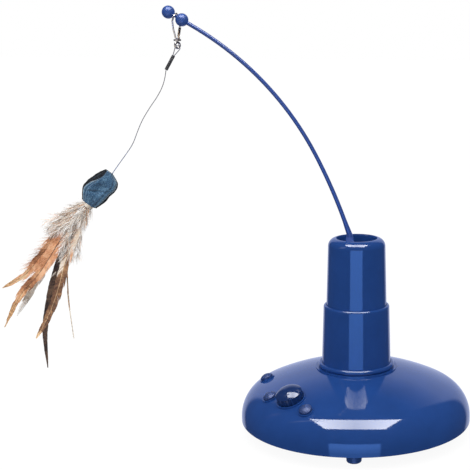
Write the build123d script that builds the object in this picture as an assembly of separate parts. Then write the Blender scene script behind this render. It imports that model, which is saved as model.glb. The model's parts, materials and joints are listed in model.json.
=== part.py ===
from build123d import *
import math
import os

os.makedirs("parts", exist_ok=True)

# Electronic cat toy: a round stand with a motor column and a bent wand that swings a feather lure.
# Millimetres, +Z up. The origin is on the column's axis, on the floor. The wand leans towards -X
# in the plane Y = 0, and -Y is the front.

# Stand
base_radius = 115.0
rim_height = 13.0
rim_band = 4.0
shoulder_radius = 33.3
crown_radius = 220.0
shell_wall = 2.6
foot_count = 4
foot_inset = 23.0
foot_top_radius = 8.5
foot_tip_radius = 7.3
foot_round = 2.2
foot_peg_radius = 3.0

# Column
column_foot_radius = 34.5
column_lip_radius = 32.7
column_lip_height = 130.0
column_lip_round = 2.3
lip_thickness = 2.4
column_wall = 2.4
lower_wall = 1.7
seat_reach = 2.7
bead_height = 4.6
bead_reach = 3.4
sleeve_foot_radius = 29.95
sleeve_top_radius = 28.15
flange_thickness = 3.5
sleeve_top_height = 197.0
sleeve_round = 8.0
well_radius = 19.9
well_floor_radius = 18.8
well_depth = 37.0

# Wand
socket_offset = 6.9
wand_radii = (3.4, 2.8, 2.15, 1.95, 1.95, 1.95)
wand_neck_radius = 1.4
foot_bend_radius = 10.0
foot_bend_angle = 19.8
foot_straight = 14.0
lower_bow_radius = 532.0
lower_bow_angle = 27.44
upper_bow_radius = 301.65
upper_bow_angle = 60.5
tip_straight = 8.64
ball_radius = 6.25
ball_spacing = 14.6

# Fits
shaft_clearance = 0.05
running_clearance = 0.3
shell_clearance = 0.25
seat_gap = 0.1
cut_over = 1.0
arc_share = 0.45

# Floor plate and battery box
plate_recess = 0.6
plate_thickness = 2.5
cell_radius = 13.1
cell_length = 50.0
cell_nub_radius = 3.0
cell_nub_length = 1.5
cell_count = 4
cell_gap = 0.4
contact_thickness = 0.5
contact_size = 12.0
spring_height = 4.5
spring_radius = 4.0
spring_wire_radius = 0.35
spring_turns = 3
box_wall = 3.5
box_roof = 2.0
door_thickness = 2.4
door_ledge = 1.9
ear_width = 14.0
ear_reach = 9.0

# Fasteners
screw_radius = 1.25
screw_head_radius = 2.6
screw_head_height = 1.8
screw_length = 9.0
post_radius = 4.0
plate_screw_inset = 14.0
plate_screw_angle = 15.0
plate_screw_count = 4
column_screw_inset = 5.3
column_screw_count = 4
column_post_height = 12.0

# Controls
knob_ring_share = 0.756522
knob_azimuth = -135.0
knob_radius = 13.0
knob_skirt = 7.8
knob_height = 13.0
knob_flutes = 18
knob_flute_radius = 1.7
knob_shaft_radius = 3.0
collar_wall = 1.2
collar_rise = 0.9
button_radius = 6.3
button_rise = 5.2
button_travel = 1.2
button_flange = 1.2
button_stem_radius = 2.0
button_ring_shares = {
    "button_right": (0.830435, -118.6),
    "button_left": (0.824348, -150.6),
    "button_back": (0.786087, -184.0),
}
guide_depth = 12.0
guide_wall = 1.4
switch_thickness = 4.5
selector_boss = 5.0
selector_radius = 9.5
selector_length = 8.5
board_size_x = 54.0
board_depth_share = 0.586618
board_gap_share = 0.138405
board_thickness = 1.6
board_rise = 6.0
board_post_radius = 2.5
chip_size = 9.0
chip_height = 2.0
capacitor_radius = 4.0
capacitor_height = 9.0
plug_size = 7.0
plug_height = 5.0

# Gear train
gear_module = 0.5
pressure_angle = 20.0
addendum_share = 0.9
dedendum_share = 1.25
gear_backlash = 0.14
output_teeth = 44
wheel_teeth = 30
pinion_teeth = 10
gear_width = 3.6
gear_pin_radius = 1.0
gear_hub_radius = 1.8
gear_play = 0.4
output_shaft_radius = 3.0
frame_plate_radius = 25.0
frame_plate = 3.0
cover_plate = 2.5
idler_b_angle = 0.0
idler_a_angle = 110.0
motor_angle = 150.0
pillar_ring_radius = 21.3
pillar_radius = 3.2
pillar_length = 10.9
pillar_angles = (-30.0, -120.0, 150.0)
motor_radius = 10.0
motor_length = 22.0
motor_boss_radius = 3.0
motor_screw_offset = 7.0
motor_screw_radius = 0.9
bush_wall = 1.5
bush_flange = 1.2

# Rotor
rotor_radius = 16.5
rotor_disc = 4.0
rotor_gap = 2.0
hub_radius = 6.0
hub_height = 14.0
socket_radius = 3.08
socket_wall = 2.2
socket_depth = 13.0
ferrule_collar_radius = 5.6
ferrule_collar = 2.8
ferrule_waist_radius = 4.9
ferrule_waist_rise = 12.0
ferrule_rise = 17.95

# Snap hook, given from the middle of the wand's neck
hook_wire_radius = 0.8
hook_route = (
    (0.9, -2.6, -22.4),
    (-1.3, -4.3, -12.0),
    (-2.0, -4.8, -4.6),
    (-0.5, -4.0, 0.3),
    (1.4, 0.0, 2.6),
    (1.6, 4.6, 0.4),
    (2.6, 6.9, -5.0),
    (3.4, 6.4, -10.4),
)
hook_bend_radius = 2.2
gate_foot = (2.2, 2.5, -20.8)
gate_width = 2.4
gate_thickness = 0.7
gate_gap = 0.5
gate_neck = 1.2
gate_barrel_radius = 0.9
gate_pin_radius = 0.45
gate_ear = 0.65
gate_clearance = 0.25
gate_ear_width = 1.4
yoke_drop = 21.8
yoke_offset = 1.6
yoke_radius = 3.6
yoke_thickness = 1.6
swivel_pin_radius = 0.8
swivel_head_radius = 1.4
swivel_head = 1.0
eye_radius = 2.7
eye_wire_radius = 1.1
eye_turn = 45.0
loop_wire_radius = 0.4
loop_radius = 2.35
loop_neck = 0.6
loop_length = 8.0
crimp_gap = 0.15
loop_lean = 29.0
sleeve_length = 15.5
sleeve_width = 3.3
sleeve_depth = 2.4

# Leader wire, from the crimp sleeve's end to the felt bud, given from the middle of the wand's neck
leader_radius = 0.4
leader_route = (
    (-11.31, 0.0, -61.39),
    (-17.31, 0.0, -74.39),
    (-26.21, 0.0, -86.69),
    (-34.31, 0.0, -99.39),
    (-39.51, 0.0, -111.39),
    (-43.91, 0.0, -122.89),
    (-51.51, 0.0, -133.49),
    (-58.71, 0.0, -143.09),
    (-65.06, 0.0, -151.94),
)

# Felt bud
bud_top = (-67.81, 0.0, -150.09)
bud_length = 38.0
bud_lean = 35.0
bud_stations_share = (0.0, 0.12, 0.32, 0.53, 0.74, 1.0)
bud_half_widths = (3.8, 8.8, 12.0, 12.3, 11.9, 7.1)
bud_skews = (0.2, -3.1, -2.7, -0.7, -0.3, -1.3)
bud_crown_share = (0.5, 0.62, 0.66, 0.66, 0.62, 0.55)
lining_thickness = 1.6
lining_reach = 1.4
binding_radius = 5.0
binding_length = 3.0

# Feathers: quill start, vane start, tip, bow of the middle line, half width, place in Y, tip spread
vane_thickness = 0.5
quill_radius = 0.35
feather_table = {
    "feather_rust": ((-109.81, -207.09), (-176.81, -266.09), -9.0, 7.2, 1.9, 14.0),
    "feather_amber": ((-114.81, -217.89), (-172.81, -308.39), -7.5, 7.4, -1.9, -6.0),
    "feather_smoke": ((-122.81, -238.89), (-158.81, -297.39), -2.5, 3.4, 3.1, 6.0),
    "feather_dark": ((-115.81, -229.89), (-133.81, -350.89), -10.5, 4.6, 0.7, 6.0),
    "feather_brown": ((-112.31, -239.89), (-139.81, -319.89), 5.0, 4.8, -3.1, -14.0),
    "feather_thin": ((-109.31, -244.39), (-103.31, -319.39), -2.5, 0.8, -0.6, -1.0),
}
# Down: tip, half width, half depth, side
down_table = {
    "down_left": ((-135.31, -222.89), 12.5, 2.8, 1),
    "down_right": ((-103.81, -242.89), 11.0, 2.8, -1),
}
down_stations_share = ((0.0, 0.25), (0.3, 0.9), (0.6, 1.0), (1.0, 0.3))
down_start = 1.5
down_foot_offset = 4.6
down_tip_offset = 11.5

# Wiring
lead_radius = 0.7
lead_spread = 3.0
lead_drop = 4.0
lead_reach = 6.0


# Shared helpers
def save(shape, name):
    export_step(shape, f"parts/{name}.step")


def rod(radius, height, at=(0, 0, 0)):
    return Pos(*at) * Cylinder(radius, height, align=(Align.CENTER, Align.CENTER, Align.MIN))


def block(size_x, size_y, size_z, at=(0, 0, 0)):
    low = (Align.CENTER, Align.CENTER, Align.MIN)
    return Pos(*at) * Box(size_x, size_y, size_z, align=low)


def polar(radius, angle, height=0):
    turn = math.radians(angle)
    return (radius * math.cos(turn), radius * math.sin(turn), height)


def between(start, end, radius):
    run = Vector(*end) - Vector(*start)
    frame = Plane(origin=start, z_dir=run.normalized())
    return frame.location * Cylinder(radius, run.length, align=(Align.CENTER, Align.CENTER, Align.MIN))


def rounded_path(points, radius_limit=None, share=arc_share):
    """Straight runs joined by tangent arcs; returns the edges, their length and the radii."""
    spots = [Vector(*p) for p in points]
    edges = []
    radii = []
    here = spots[0]
    for before, corner, after in zip(spots, spots[1:], spots[2:]):
        inward = (corner - before).normalized()
        outward = (after - corner).normalized()
        half = math.acos(max(-1, min(1, inward.dot(outward)))) / 2
        run = share * min((corner - before).length, (after - corner).length)
        if radius_limit:
            run = min(run, radius_limit * math.tan(half))
        radius = run / math.tan(half)
        first = corner - inward * run
        last = corner + outward * run
        side = (outward - inward).normalized()
        middle = corner + side * (radius / math.cos(half) - radius)
        edges.append(Line(here, first))
        edges.append(ThreePointArc(first, middle, last))
        radii.append(radius)
        here = last
    edges.append(Line(here, spots[-1]))
    return edges, sum(e.length for e in edges), radii


def tube(points, radius, radius_limit=None):
    edges, length, radii = rounded_path(points, radius_limit)
    start = Vector(*points[0])
    heading = (Vector(*points[1]) - start).normalized()
    disc = Plane(origin=start, z_dir=heading) * Circle(radius)
    return sweep(disc, path=Wire(edges)), length, radii


def screw(at, pointing=1, length=screw_length):
    """A pan-head screw with its head's seat at the given point and its shank along +Z or -Z."""
    shank = rod(screw_radius, length)
    head = rod(screw_head_radius, screw_head_height, (0, 0, -screw_head_height))
    body = shank + head
    if pointing < 0:
        body = Rot(180, 0, 0) * body
    return Pos(*at) * body


def group(solids):
    return Compound(children=list(solids))


# Dome geometry that the shell and everything on it share
shoulder_height = rim_height + rim_band
shoulder_axis = base_radius - shoulder_radius
foot_ring_radius = base_radius - foot_inset
plate_screw_ring = base_radius - plate_screw_inset
column_screw_ring = column_foot_radius - column_screw_inset
knob_ring_radius = base_radius * knob_ring_share
crown_centre = shoulder_height - math.sqrt((crown_radius - shoulder_radius) ** 2 - shoulder_axis**2)
crown_angle = math.atan2(shoulder_height - crown_centre, shoulder_axis)
seat_radius = column_foot_radius + bead_reach + seat_reach
seat_height = crown_centre + math.sqrt(crown_radius**2 - column_foot_radius**2) + seat_gap * 3
plate_low = rim_height + plate_recess
plate_top = plate_low + plate_thickness
plate_radius = base_radius - shell_wall - running_clearance


def on_crown(radius, azimuth):
    """The plane that touches the dome at a radius and azimuth, its Z along the outward normal."""
    rise = math.sqrt(crown_radius**2 - radius**2)
    x, y, z = polar(radius, azimuth, crown_centre + rise)
    normal = Vector(x, y, rise)
    tangent = Vector(-math.sin(math.radians(azimuth)), math.cos(math.radians(azimuth)), 0)
    return Plane(origin=(x, y, z), x_dir=tangent, z_dir=normal)


def arc_point(centre_r, centre_z, radius, angle):
    return (centre_r + radius * math.cos(angle), centre_z + radius * math.sin(angle))


def dome_profile(inset):
    """Outline of the dome from the rim to the axis, moved inwards by a wall."""
    shoulder = shoulder_radius - inset
    crown = crown_radius - inset
    low = (base_radius - inset, rim_height)
    start = (base_radius - inset, shoulder_height)
    middle = arc_point(shoulder_axis, shoulder_height, shoulder, crown_angle / 2)
    tangent = arc_point(shoulder_axis, shoulder_height, shoulder, crown_angle)
    crown_middle = arc_point(0, crown_centre, crown, (crown_angle + math.pi / 2) / 2)
    top = (0, crown_centre + crown)
    edges = [Line(low, start), ThreePointArc(start, middle, tangent)]
    edges.append(ThreePointArc(tangent, crown_middle, top))
    return edges, low, top


def dome_solid(inset):
    edges, low, top = dome_profile(inset)
    closing = [Line(top, (0, rim_height)), Line((0, rim_height), low)]
    return revolve(Plane.XZ * make_face(edges + closing), Axis.Z)


# Stand: shell, plate, feet
wire_hole_radius = column_screw_ring - post_radius - screw_head_radius


def control_planes():
    planes = {"knob": on_crown(knob_ring_radius, knob_azimuth)}
    for name, (share, azimuth) in button_ring_shares.items():
        planes[name] = on_crown(base_radius * share, azimuth)
    return planes


def collar(plane, hole):
    """A raised ring round a control, with the hole that the control sits in."""
    outer = rod(hole + collar_wall, shell_wall / 2 + collar_rise, (0, 0, -shell_wall / 2))
    inner = rod(hole, shell_wall + collar_rise + 2 * cut_over, (0, 0, -shell_wall / 2))
    return plane.location * (outer - inner)


def plate_screw_places():
    step = 360 / plate_screw_count
    return [polar(plate_screw_ring, plate_screw_angle + i * step) for i in range(plate_screw_count)]


def column_screw_places():
    step = 360 / column_screw_count
    return [polar(column_screw_ring, step / 2 + i * step) for i in range(column_screw_count)]


def guide_radius():
    return button_radius + button_flange + shell_clearance


def guides(planes):
    """Tubes that lead each button down to its switch, and the boss that the selector sits against."""
    solids = []
    for name in button_ring_shares:
        outer = guide_radius() + guide_wall
        solids.append(planes[name].location * rod(outer, guide_depth, (0, 0, -guide_depth)))
    solids.append(planes["knob"].location * rod(selector_radius, selector_boss, (0, 0, -selector_boss)))
    return solids


def base_shell():
    """The domed shell with its column seat, screw posts, guides, collars and holes."""
    shell = dome_solid(0) - dome_solid(shell_wall)
    land = rod(seat_radius, shell_wall, (0, 0, seat_height - shell_wall))
    above = rod(seat_radius, crown_radius, (0, 0, seat_height))
    inside = dome_solid(shell_wall / 2)
    shell = shell - above + land
    planes = control_planes()
    for x, y, z in plate_screw_places():
        post = rod(post_radius, crown_radius, (x, y, plate_top))
        shell = shell + (post & inside)
    for guide in guides(planes):
        shell = shell + (guide & inside)
    for x, y, z in plate_screw_places():
        shell = shell - rod(screw_radius, screw_length + cut_over, (x, y, plate_top - cut_over))
    shell = shell - rod(wire_hole_radius, crown_radius)
    for x, y, z in column_screw_places():
        hole = screw_radius + shell_clearance
        shell = shell - rod(hole, crown_radius, (x, y, 0))
    shell = shell + collar(planes["knob"], knob_radius + collar_wall / 2)
    for name in button_ring_shares:
        shell = shell + collar(planes[name], button_radius + shell_clearance)
    bore = rod(knob_shaft_radius + running_clearance, guide_depth * 2, (0, 0, -guide_depth))
    shell = shell - planes["knob"].location * bore
    for name in button_ring_shares:
        below = shell_wall + running_clearance / 2
        well = rod(guide_radius(), guide_depth - below + cut_over, (0, 0, -guide_depth - cut_over))
        hole = rod(button_radius + shell_clearance, guide_depth, (0, 0, -guide_depth / 2))
        shell = shell - planes[name].location * (well + hole)
    return shell


def foot(index):
    """A moulded foot that hangs under the floor plate, with a peg pressed into it."""
    x, y, z = polar(foot_ring_radius, index * 360 / foot_count - 90)
    flat = foot_tip_radius - foot_round
    bend = math.sqrt(2) / 2
    outline = [
        Line((0, 0), (flat, 0)),
        ThreePointArc(
            (flat, 0),
            (flat + foot_round * bend, foot_round - foot_round * bend),
            (foot_tip_radius, foot_round),
        ),
        Line((foot_tip_radius, foot_round), (foot_top_radius, plate_low)),
        Line((foot_top_radius, plate_low), (0, plate_low)),
        Line((0, plate_low), (0, 0)),
    ]
    body = revolve(Plane.XZ * make_face(outline), Axis.Z)
    peg = rod(foot_peg_radius, plate_thickness, (0, 0, plate_low))
    return Pos(x, y, 0) * (body + peg)


# Battery box
cell_pitch = 2 * cell_radius + cell_gap
box_half_x = cell_count * cell_pitch / 2 + running_clearance
box_half_y = (cell_length + spring_height + 2 * contact_thickness) / 2 + running_clearance
cell_height = plate_top + seat_gap * 3 + cell_radius
box_top = cell_height + cell_radius + running_clearance
door_half_x = box_half_x + door_ledge
door_half_y = box_half_y + door_ledge
ear_hole_y = door_half_y + ear_reach / 2
board_near_wall = door_half_y + ear_reach + box_wall
board_room = plate_screw_ring - post_radius - board_near_wall
board_size_y = board_room * board_depth_share
board_middle_y = board_near_wall + board_room * board_gap_share + board_size_y / 2


def door_blank(grow, height, low):
    panel = block(2 * (door_half_x + grow), 2 * (door_half_y + grow), height, (0, 0, low))
    ear_middle = door_half_y + ear_reach / 2
    ear = block(ear_width + 2 * grow, ear_reach + 2 * grow, height, (0, ear_middle, low))
    return panel + ear


def board_post_places():
    half_x = board_size_x / 2 - board_post_radius
    half_y = board_size_y / 2 - board_post_radius
    return [(sx * half_x, board_middle_y + sy * half_y) for sx in (-1, 1) for sy in (-1, 1)]


def base_plate():
    """The floor plate with the battery box, the door's screw boss and the board's posts."""
    plate = rod(plate_radius, plate_thickness, (0, 0, plate_low))
    tall = box_top + box_roof - plate_top
    plate = plate - door_blank(seat_gap * 2, plate_thickness + 2 * cut_over, plate_low - cut_over)
    outer = block(2 * (box_half_x + box_wall), 2 * (box_half_y + box_wall), tall, (0, 0, plate_top))
    room = box_top - plate_top + cut_over
    inner = block(2 * box_half_x, 2 * box_half_y, room, (0, 0, plate_top - cut_over))
    boss_y = ear_reach + box_wall
    boss = block(ear_width + box_wall, boss_y, screw_length, (0, door_half_y + boss_y / 2, plate_top))
    plate = plate + boss + outer - inner
    drill = rod(screw_radius, screw_length - box_wall / 2, (0, ear_hole_y, plate_top - cut_over))
    plate = plate - drill
    for x, y in board_post_places():
        plate = plate + rod(board_post_radius, board_rise, (x, y, plate_top))
    for i in range(foot_count):
        x, y, z = polar(foot_ring_radius, i * 360 / foot_count - 90)
        plate = plate - rod(foot_peg_radius, plate_thickness + 2 * cut_over, (x, y, plate_low - cut_over))
    for x, y, z in plate_screw_places():
        plate = plate - rod(screw_radius, plate_thickness + 2 * cut_over, (x, y, plate_low - cut_over))
        sink = screw_head_radius + shell_clearance
        plate = plate - rod(sink, screw_head_height + cut_over, (x, y, plate_low - cut_over))
    return plate


def plate_screws():
    seat = plate_low + screw_head_height
    return group([screw((x, y, seat)) for x, y, z in plate_screw_places()])


def battery_door():
    door = door_blank(0, door_thickness, plate_low)
    hole = rod(screw_radius, door_thickness + 2 * cut_over, (0, ear_hole_y, plate_low - cut_over))
    sink = rod(screw_head_radius, screw_head_height / 2 + cut_over, (0, ear_hole_y, plate_low - cut_over))
    return door - hole - sink


def door_screw():
    length = screw_length / 2
    shank = rod(screw_radius, length, (0, ear_hole_y, plate_low + screw_head_height / 2))
    head = rod(screw_head_radius, screw_head_height / 2, (0, ear_hole_y, plate_low))
    return shank + head


def cell_places():
    first = -(cell_count - 1) * cell_pitch / 2
    return [(first + i * cell_pitch, 1 if i % 2 else -1) for i in range(cell_count)]


def battery_cells():
    """Round cells side by side along X, each turned the other way from its neighbour."""
    solids = []
    can_length = cell_length - cell_nub_length
    for x, way in cell_places():
        can = rod(cell_radius, can_length) + rod(cell_nub_radius, cell_nub_length, (0, 0, can_length))
        tail = -way * (box_half_y - contact_thickness - spring_height)
        solids.append(Pos(x, tail, cell_height) * (Rot(-90 * way, 0, 0) * can))
    return group(solids)


def contact_plates():
    solids = []
    low = cell_height - contact_size / 2
    for x, way in cell_places():
        for side in (-1, 1):
            y = side * (box_half_y - contact_thickness / 2)
            solids.append(block(contact_size, contact_thickness, contact_size, (x, y, low)))
    return group(solids)


def contact_springs():
    solids = []
    free = spring_height - 2 * (spring_wire_radius + seat_gap)
    for x, way in cell_places():
        coil_path = Helix(free / spring_turns, free, spring_radius)
        disc = Plane(origin=coil_path @ 0, z_dir=coil_path % 0) * Circle(spring_wire_radius)
        coil = sweep(disc, path=coil_path, is_frenet=True)
        start = -way * (box_half_y - contact_thickness - spring_wire_radius - seat_gap)
        solids.append(Pos(x, start, cell_height) * (Rot(-90 * way, 0, 0) * coil))
    return group(solids)


# Controls on the dome, each on its own axis, and the board on the floor plate
def knob():
    """A domed cap over a fluted skirt, with its shaft down into the selector."""
    lift = seat_gap * 5
    cap_rise = knob_height - knob_skirt
    cap_radius = (knob_radius**2 + cap_rise**2) / (2 * cap_rise)
    cap = Pos(0, 0, knob_height - cap_radius) * Sphere(cap_radius)
    body = rod(knob_radius, knob_height, (0, 0, lift)) & cap
    flute_ring = knob_radius + knob_flute_radius / 2
    for i in range(knob_flutes):
        x, y, z = polar(flute_ring, i * 360 / knob_flutes)
        body = body - rod(knob_flute_radius, knob_skirt, (x, y, 0))
    reach = selector_boss + selector_length / 2
    shaft = rod(knob_shaft_radius, reach + lift, (0, 0, -reach))
    return control_planes()["knob"].location * (body + shaft)


def button(name):
    """A domed cap with a flange that keeps it under the shell and a stem down to its switch."""
    rim = button_rise / 2
    cap_rise = button_rise - rim
    cap_radius = (button_radius**2 + cap_rise**2) / (2 * cap_rise)
    flange_top = -(shell_wall + running_clearance)
    cap = rod(button_radius, button_rise - flange_top, (0, 0, flange_top))
    cap = cap & (Pos(0, 0, button_rise - cap_radius) * Sphere(cap_radius))
    cap = cap + rod(button_radius, rim - flange_top, (0, 0, flange_top))
    flange_low = flange_top - button_flange
    flange = rod(button_radius + button_flange, button_flange, (0, 0, flange_low))
    stem_low = -(guide_depth - button_travel - running_clearance)
    stem = rod(button_stem_radius, flange_low - stem_low, (0, 0, stem_low))
    return control_planes()[name].location * (cap + flange + stem)


def selector_switch():
    low = -(selector_boss + selector_length)
    body = rod(selector_radius, selector_length, (0, 0, low))
    reach = selector_boss + selector_length / 2 + seat_gap
    bore = rod(knob_shaft_radius + shaft_clearance, reach, (0, 0, -reach))
    return control_planes()["knob"].location * (body - bore)


def button_switches():
    solids = []
    outer = guide_radius() + guide_wall
    for name in button_ring_shares:
        low = -(guide_depth + switch_thickness)
        solids.append(control_planes()[name].location * rod(outer, switch_thickness, (0, 0, low)))
    return group(solids)


board_low = plate_top + board_rise
board_top = board_low + board_thickness


def control_board():
    return block(board_size_x, board_size_y, board_thickness, (0, board_middle_y, board_low))


def board_parts():
    """A driver chip, two capacitors and two plugs on the board."""
    far = board_middle_y + board_size_y / 4
    solids = [block(chip_size, chip_size, chip_height, (0, far, board_top))]
    for side in (-1, 1):
        place = (side * 2 * chip_size, far, board_top)
        solids.append(rod(capacitor_radius, capacitor_height, place))
        place = (side * plug_size, board_middle_y - board_size_y / 4, board_top)
        solids.append(block(plug_size, plug_size, plug_height, place))
    return group(solids)


# Column
bead_low = seat_height
flange_top = column_lip_height - lip_thickness - seat_gap
sleeve_foot_height = flange_top - flange_thickness
well_floor_height = sleeve_top_height - well_depth
sleeve_slope = (sleeve_foot_radius - sleeve_top_radius) / (sleeve_top_height - sleeve_foot_height)
column_slope = (column_foot_radius - column_lip_radius) / (column_lip_height - bead_low)
lip_inner = sleeve_foot_radius + shell_clearance


def column_inner(height):
    return column_foot_radius - column_slope * (height - bead_low) - lower_wall


def column_lower():
    """The tapered lower sleeve with a bead at its foot and a lip at its top."""
    bead_middle = (column_foot_radius + bead_reach, bead_low + bead_height / 2)
    bead_top = column_foot_radius - column_slope * bead_height
    round_low = column_lip_height - column_lip_round
    round_out = column_lip_radius + column_slope * column_lip_round
    bend = math.sqrt(2) / 2
    lip_start = (round_out - column_lip_round, column_lip_height)
    lip_middle = (
        round_out - column_lip_round * (1 - bend),
        column_lip_height - column_lip_round * (1 - bend),
    )
    under_lip = column_lip_height - lip_thickness
    points = [
        (lip_start[0], column_lip_height),
        (lip_inner, column_lip_height),
        (lip_inner, under_lip),
        (column_inner(under_lip), under_lip),
        (column_inner(bead_low), bead_low),
        (column_foot_radius + bead_reach / 2, bead_low),
    ]
    edges = [Line(a, b) for a, b in zip(points, points[1:])]
    edges.append(ThreePointArc(points[-1], bead_middle, (bead_top, bead_low + bead_height)))
    edges.append(Line((bead_top, bead_low + bead_height), (round_out, round_low)))
    edges.append(ThreePointArc((round_out, round_low), lip_middle, lip_start))
    sleeve = revolve(Plane.XZ * make_face(edges), Axis.Z)
    envelope = rod(column_foot_radius - lower_wall / 2, column_post_height, (0, 0, bead_low))
    for x, y, z in column_screw_places():
        sleeve = sleeve + (rod(post_radius, column_post_height, (x, y, bead_low)) & envelope)
    for x, y, z in column_screw_places():
        sleeve = sleeve - rod(screw_radius, screw_length + cut_over, (x, y, bead_low - cut_over))
    ledge_top = sleeve_foot_height - seat_gap
    reach = column_inner(ledge_top)
    ledge_width = column_wall * 3
    for i in range(3):
        x, y, z = polar(reach, 30 + i * 120, ledge_top - column_wall)
        ledge = Pos(x, y, z) * (Rot(0, 0, 30 + i * 120) * block(column_wall * 1.2, ledge_width, column_wall))
        sleeve = sleeve + ledge
    return sleeve


def column_screws():
    seat = seat_height - shell_wall
    return group([screw((x, y, seat)) for x, y, z in column_screw_places()])


def column_upper():
    """The upper sleeve: outer cone, rounded mouth, and the well that the wand stands in."""
    wall = column_wall
    round_low = sleeve_top_height - sleeve_round
    round_radius = sleeve_foot_radius - sleeve_slope * (round_low - sleeve_foot_height)
    axis = round_radius - sleeve_round
    bend = math.sqrt(2) / 2
    flange_radius = column_inner(flange_top) - shell_clearance
    half_gap = (round_radius - well_radius) / 2 - wall
    mouth_low = sleeve_top_height - (axis - well_radius) - wall / 2
    floor_low = well_floor_height - wall
    cup_outer = well_floor_radius + wall
    edges = [
        Line((flange_radius, sleeve_foot_height), (flange_radius, flange_top)),
        Line((flange_radius, flange_top), (sleeve_foot_radius, flange_top)),
        Line((sleeve_foot_radius, flange_top), (round_radius, round_low)),
        ThreePointArc(
            (round_radius, round_low),
            (axis + sleeve_round * bend, round_low + sleeve_round * bend),
            (axis, sleeve_top_height),
        ),
        Line((axis, sleeve_top_height), (well_radius, mouth_low)),
        Line((well_radius, mouth_low), (well_floor_radius, well_floor_height)),
        Line((well_floor_radius, well_floor_height), (0, well_floor_height)),
        Line((0, well_floor_height), (0, floor_low)),
        Line((0, floor_low), (cup_outer, floor_low)),
        Line((cup_outer, floor_low), (well_radius + wall, round_low)),
        ThreePointArc(
            (well_radius + wall, round_low),
            ((well_radius + round_radius) / 2, round_low + half_gap),
            (round_radius - wall, round_low),
        ),
        Line((round_radius - wall, round_low), (sleeve_foot_radius - wall, sleeve_foot_height)),
        Line((sleeve_foot_radius - wall, sleeve_foot_height), (flange_radius, sleeve_foot_height)),
    ]
    sleeve = revolve(Plane.XZ * make_face(edges), Axis.Z)
    post_low = frame_top
    for angle in pillar_angles:
        x, y, z = polar(pillar_ring_radius, angle)
        post = rod(pillar_radius, floor_low - post_low + wall / 2, (x, y, post_low))
        sleeve = sleeve + post
    for angle in pillar_angles:
        x, y, z = polar(pillar_ring_radius, angle)
        sleeve = sleeve - rod(screw_radius, screw_length, (x, y, post_low - cut_over))
    bush = output_shaft_radius + bush_wall
    return sleeve - rod(bush, wall * 3, (0, 0, floor_low - wall))


# Gear train, stacked on three levels between the frame and its cover, hung under the well
gear_room = 3 * gear_width + 6 * gear_play
gear_stack = frame_plate + gear_room + cover_plate
frame_height = well_floor_height - column_wall - pillar_length - gear_stack
frame_top_of_base = frame_height + frame_plate
level_one = frame_top_of_base + gear_play * 2
level_two = level_one + gear_width + gear_play
level_three = level_two + gear_width + gear_play
frame_roof = level_three + gear_width + gear_play * 2
frame_top = frame_roof + cover_plate
output_pitch = gear_module * output_teeth / 2
wheel_pitch = gear_module * wheel_teeth / 2
pinion_pitch = gear_module * pinion_teeth / 2


def gear_places():
    """Axis of each gear, each at its centre distance from the one before it."""
    bx, by, z = polar(output_pitch + pinion_pitch, idler_b_angle)
    dx, dy, z = polar(wheel_pitch + pinion_pitch, idler_a_angle)
    ax, ay = bx + dx, by + dy
    mx, my, z = polar(wheel_pitch + pinion_pitch, motor_angle)
    return (bx, by), (ax, ay), (ax + mx, ay + my)


def flank_turn(teeth, radius):
    base = gear_module * teeth / 2 * math.cos(math.radians(pressure_angle))
    if radius <= base:
        return 0
    roll = math.acos(base / radius)
    return math.tan(roll) - roll


def gear(teeth, width, phase, bore, low, at):
    """An involute spur gear with one tooth centred on the phase angle, in degrees."""
    pitch = gear_module * teeth / 2
    base = pitch * math.cos(math.radians(pressure_angle))
    root = pitch - dedendum_share * gear_module
    tip = pitch + addendum_share * gear_module
    half = (math.pi * gear_module / 2 - gear_backlash) / 2 / pitch
    radii = sorted({root, max(root, base), pitch, (pitch + tip) / 2, tip})
    points = []
    for i in range(teeth):
        middle = math.radians(phase) + 2 * math.pi * i / teeth
        flank = [(r, half + flank_turn(teeth, pitch) - flank_turn(teeth, r)) for r in radii]
        for radius, turn in flank:
            points.append((radius * math.cos(middle - turn), radius * math.sin(middle - turn)))
        for radius, turn in reversed(flank):
            points.append((radius * math.cos(middle + turn), radius * math.sin(middle + turn)))
    blank = extrude(make_face(Polyline(*points, close=True)), width)
    x, y = at
    return Pos(x, y, low) * (blank - rod(bore, width + 2 * cut_over, (0, 0, -cut_over)))


def mesh_phases():
    """Tooth angles that put every gear in mesh with the next at rest."""
    output = idler_b_angle
    b_pinion = idler_b_angle + 180 + 180 / pinion_teeth
    b_wheel = idler_a_angle
    a_pinion = idler_a_angle + 180 + 180 / pinion_teeth
    a_wheel = motor_angle
    motor = motor_angle + 180 + 180 / pinion_teeth
    return output, b_pinion, b_wheel, a_pinion, a_wheel, motor


def idler_gear(at, wheel_level, wheel_phase, pinion_phase):
    """A wheel and a pinion in one moulding, with hubs that fill the space between the plates."""
    bore = gear_pin_radius + shaft_clearance
    low = frame_top_of_base + gear_play / 2
    high = frame_roof - gear_play / 2
    x, y = at
    wheel = gear(wheel_teeth, gear_width, wheel_phase, bore, wheel_level, at)
    pinion_low = wheel_level + gear_width
    pinion = gear(pinion_teeth, gear_width + gear_play, pinion_phase, bore, pinion_low, at)
    pinion_top = pinion_low + gear_width + gear_play
    hubs = rod(gear_hub_radius, wheel_level - low, (x, y, low))
    if high > pinion_top:
        hubs = hubs + rod(gear_hub_radius, high - pinion_top, (x, y, pinion_top))
    hubs = hubs - rod(bore, high, (x, y, low - cut_over))
    return wheel + pinion + hubs


def motor_pinion():
    at = gear_places()[2]
    x, y = at
    width = gear_width + gear_play
    teeth = gear(pinion_teeth, width, mesh_phases()[5], gear_pin_radius, level_one - gear_play, at)
    shaft = rod(gear_pin_radius, frame_plate + gear_width + gear_play * 2, (x, y, frame_height))
    return teeth + shaft


def output_gear():
    return gear(output_teeth, gear_width, mesh_phases()[0], output_shaft_radius, level_three, (0, 0))


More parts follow.
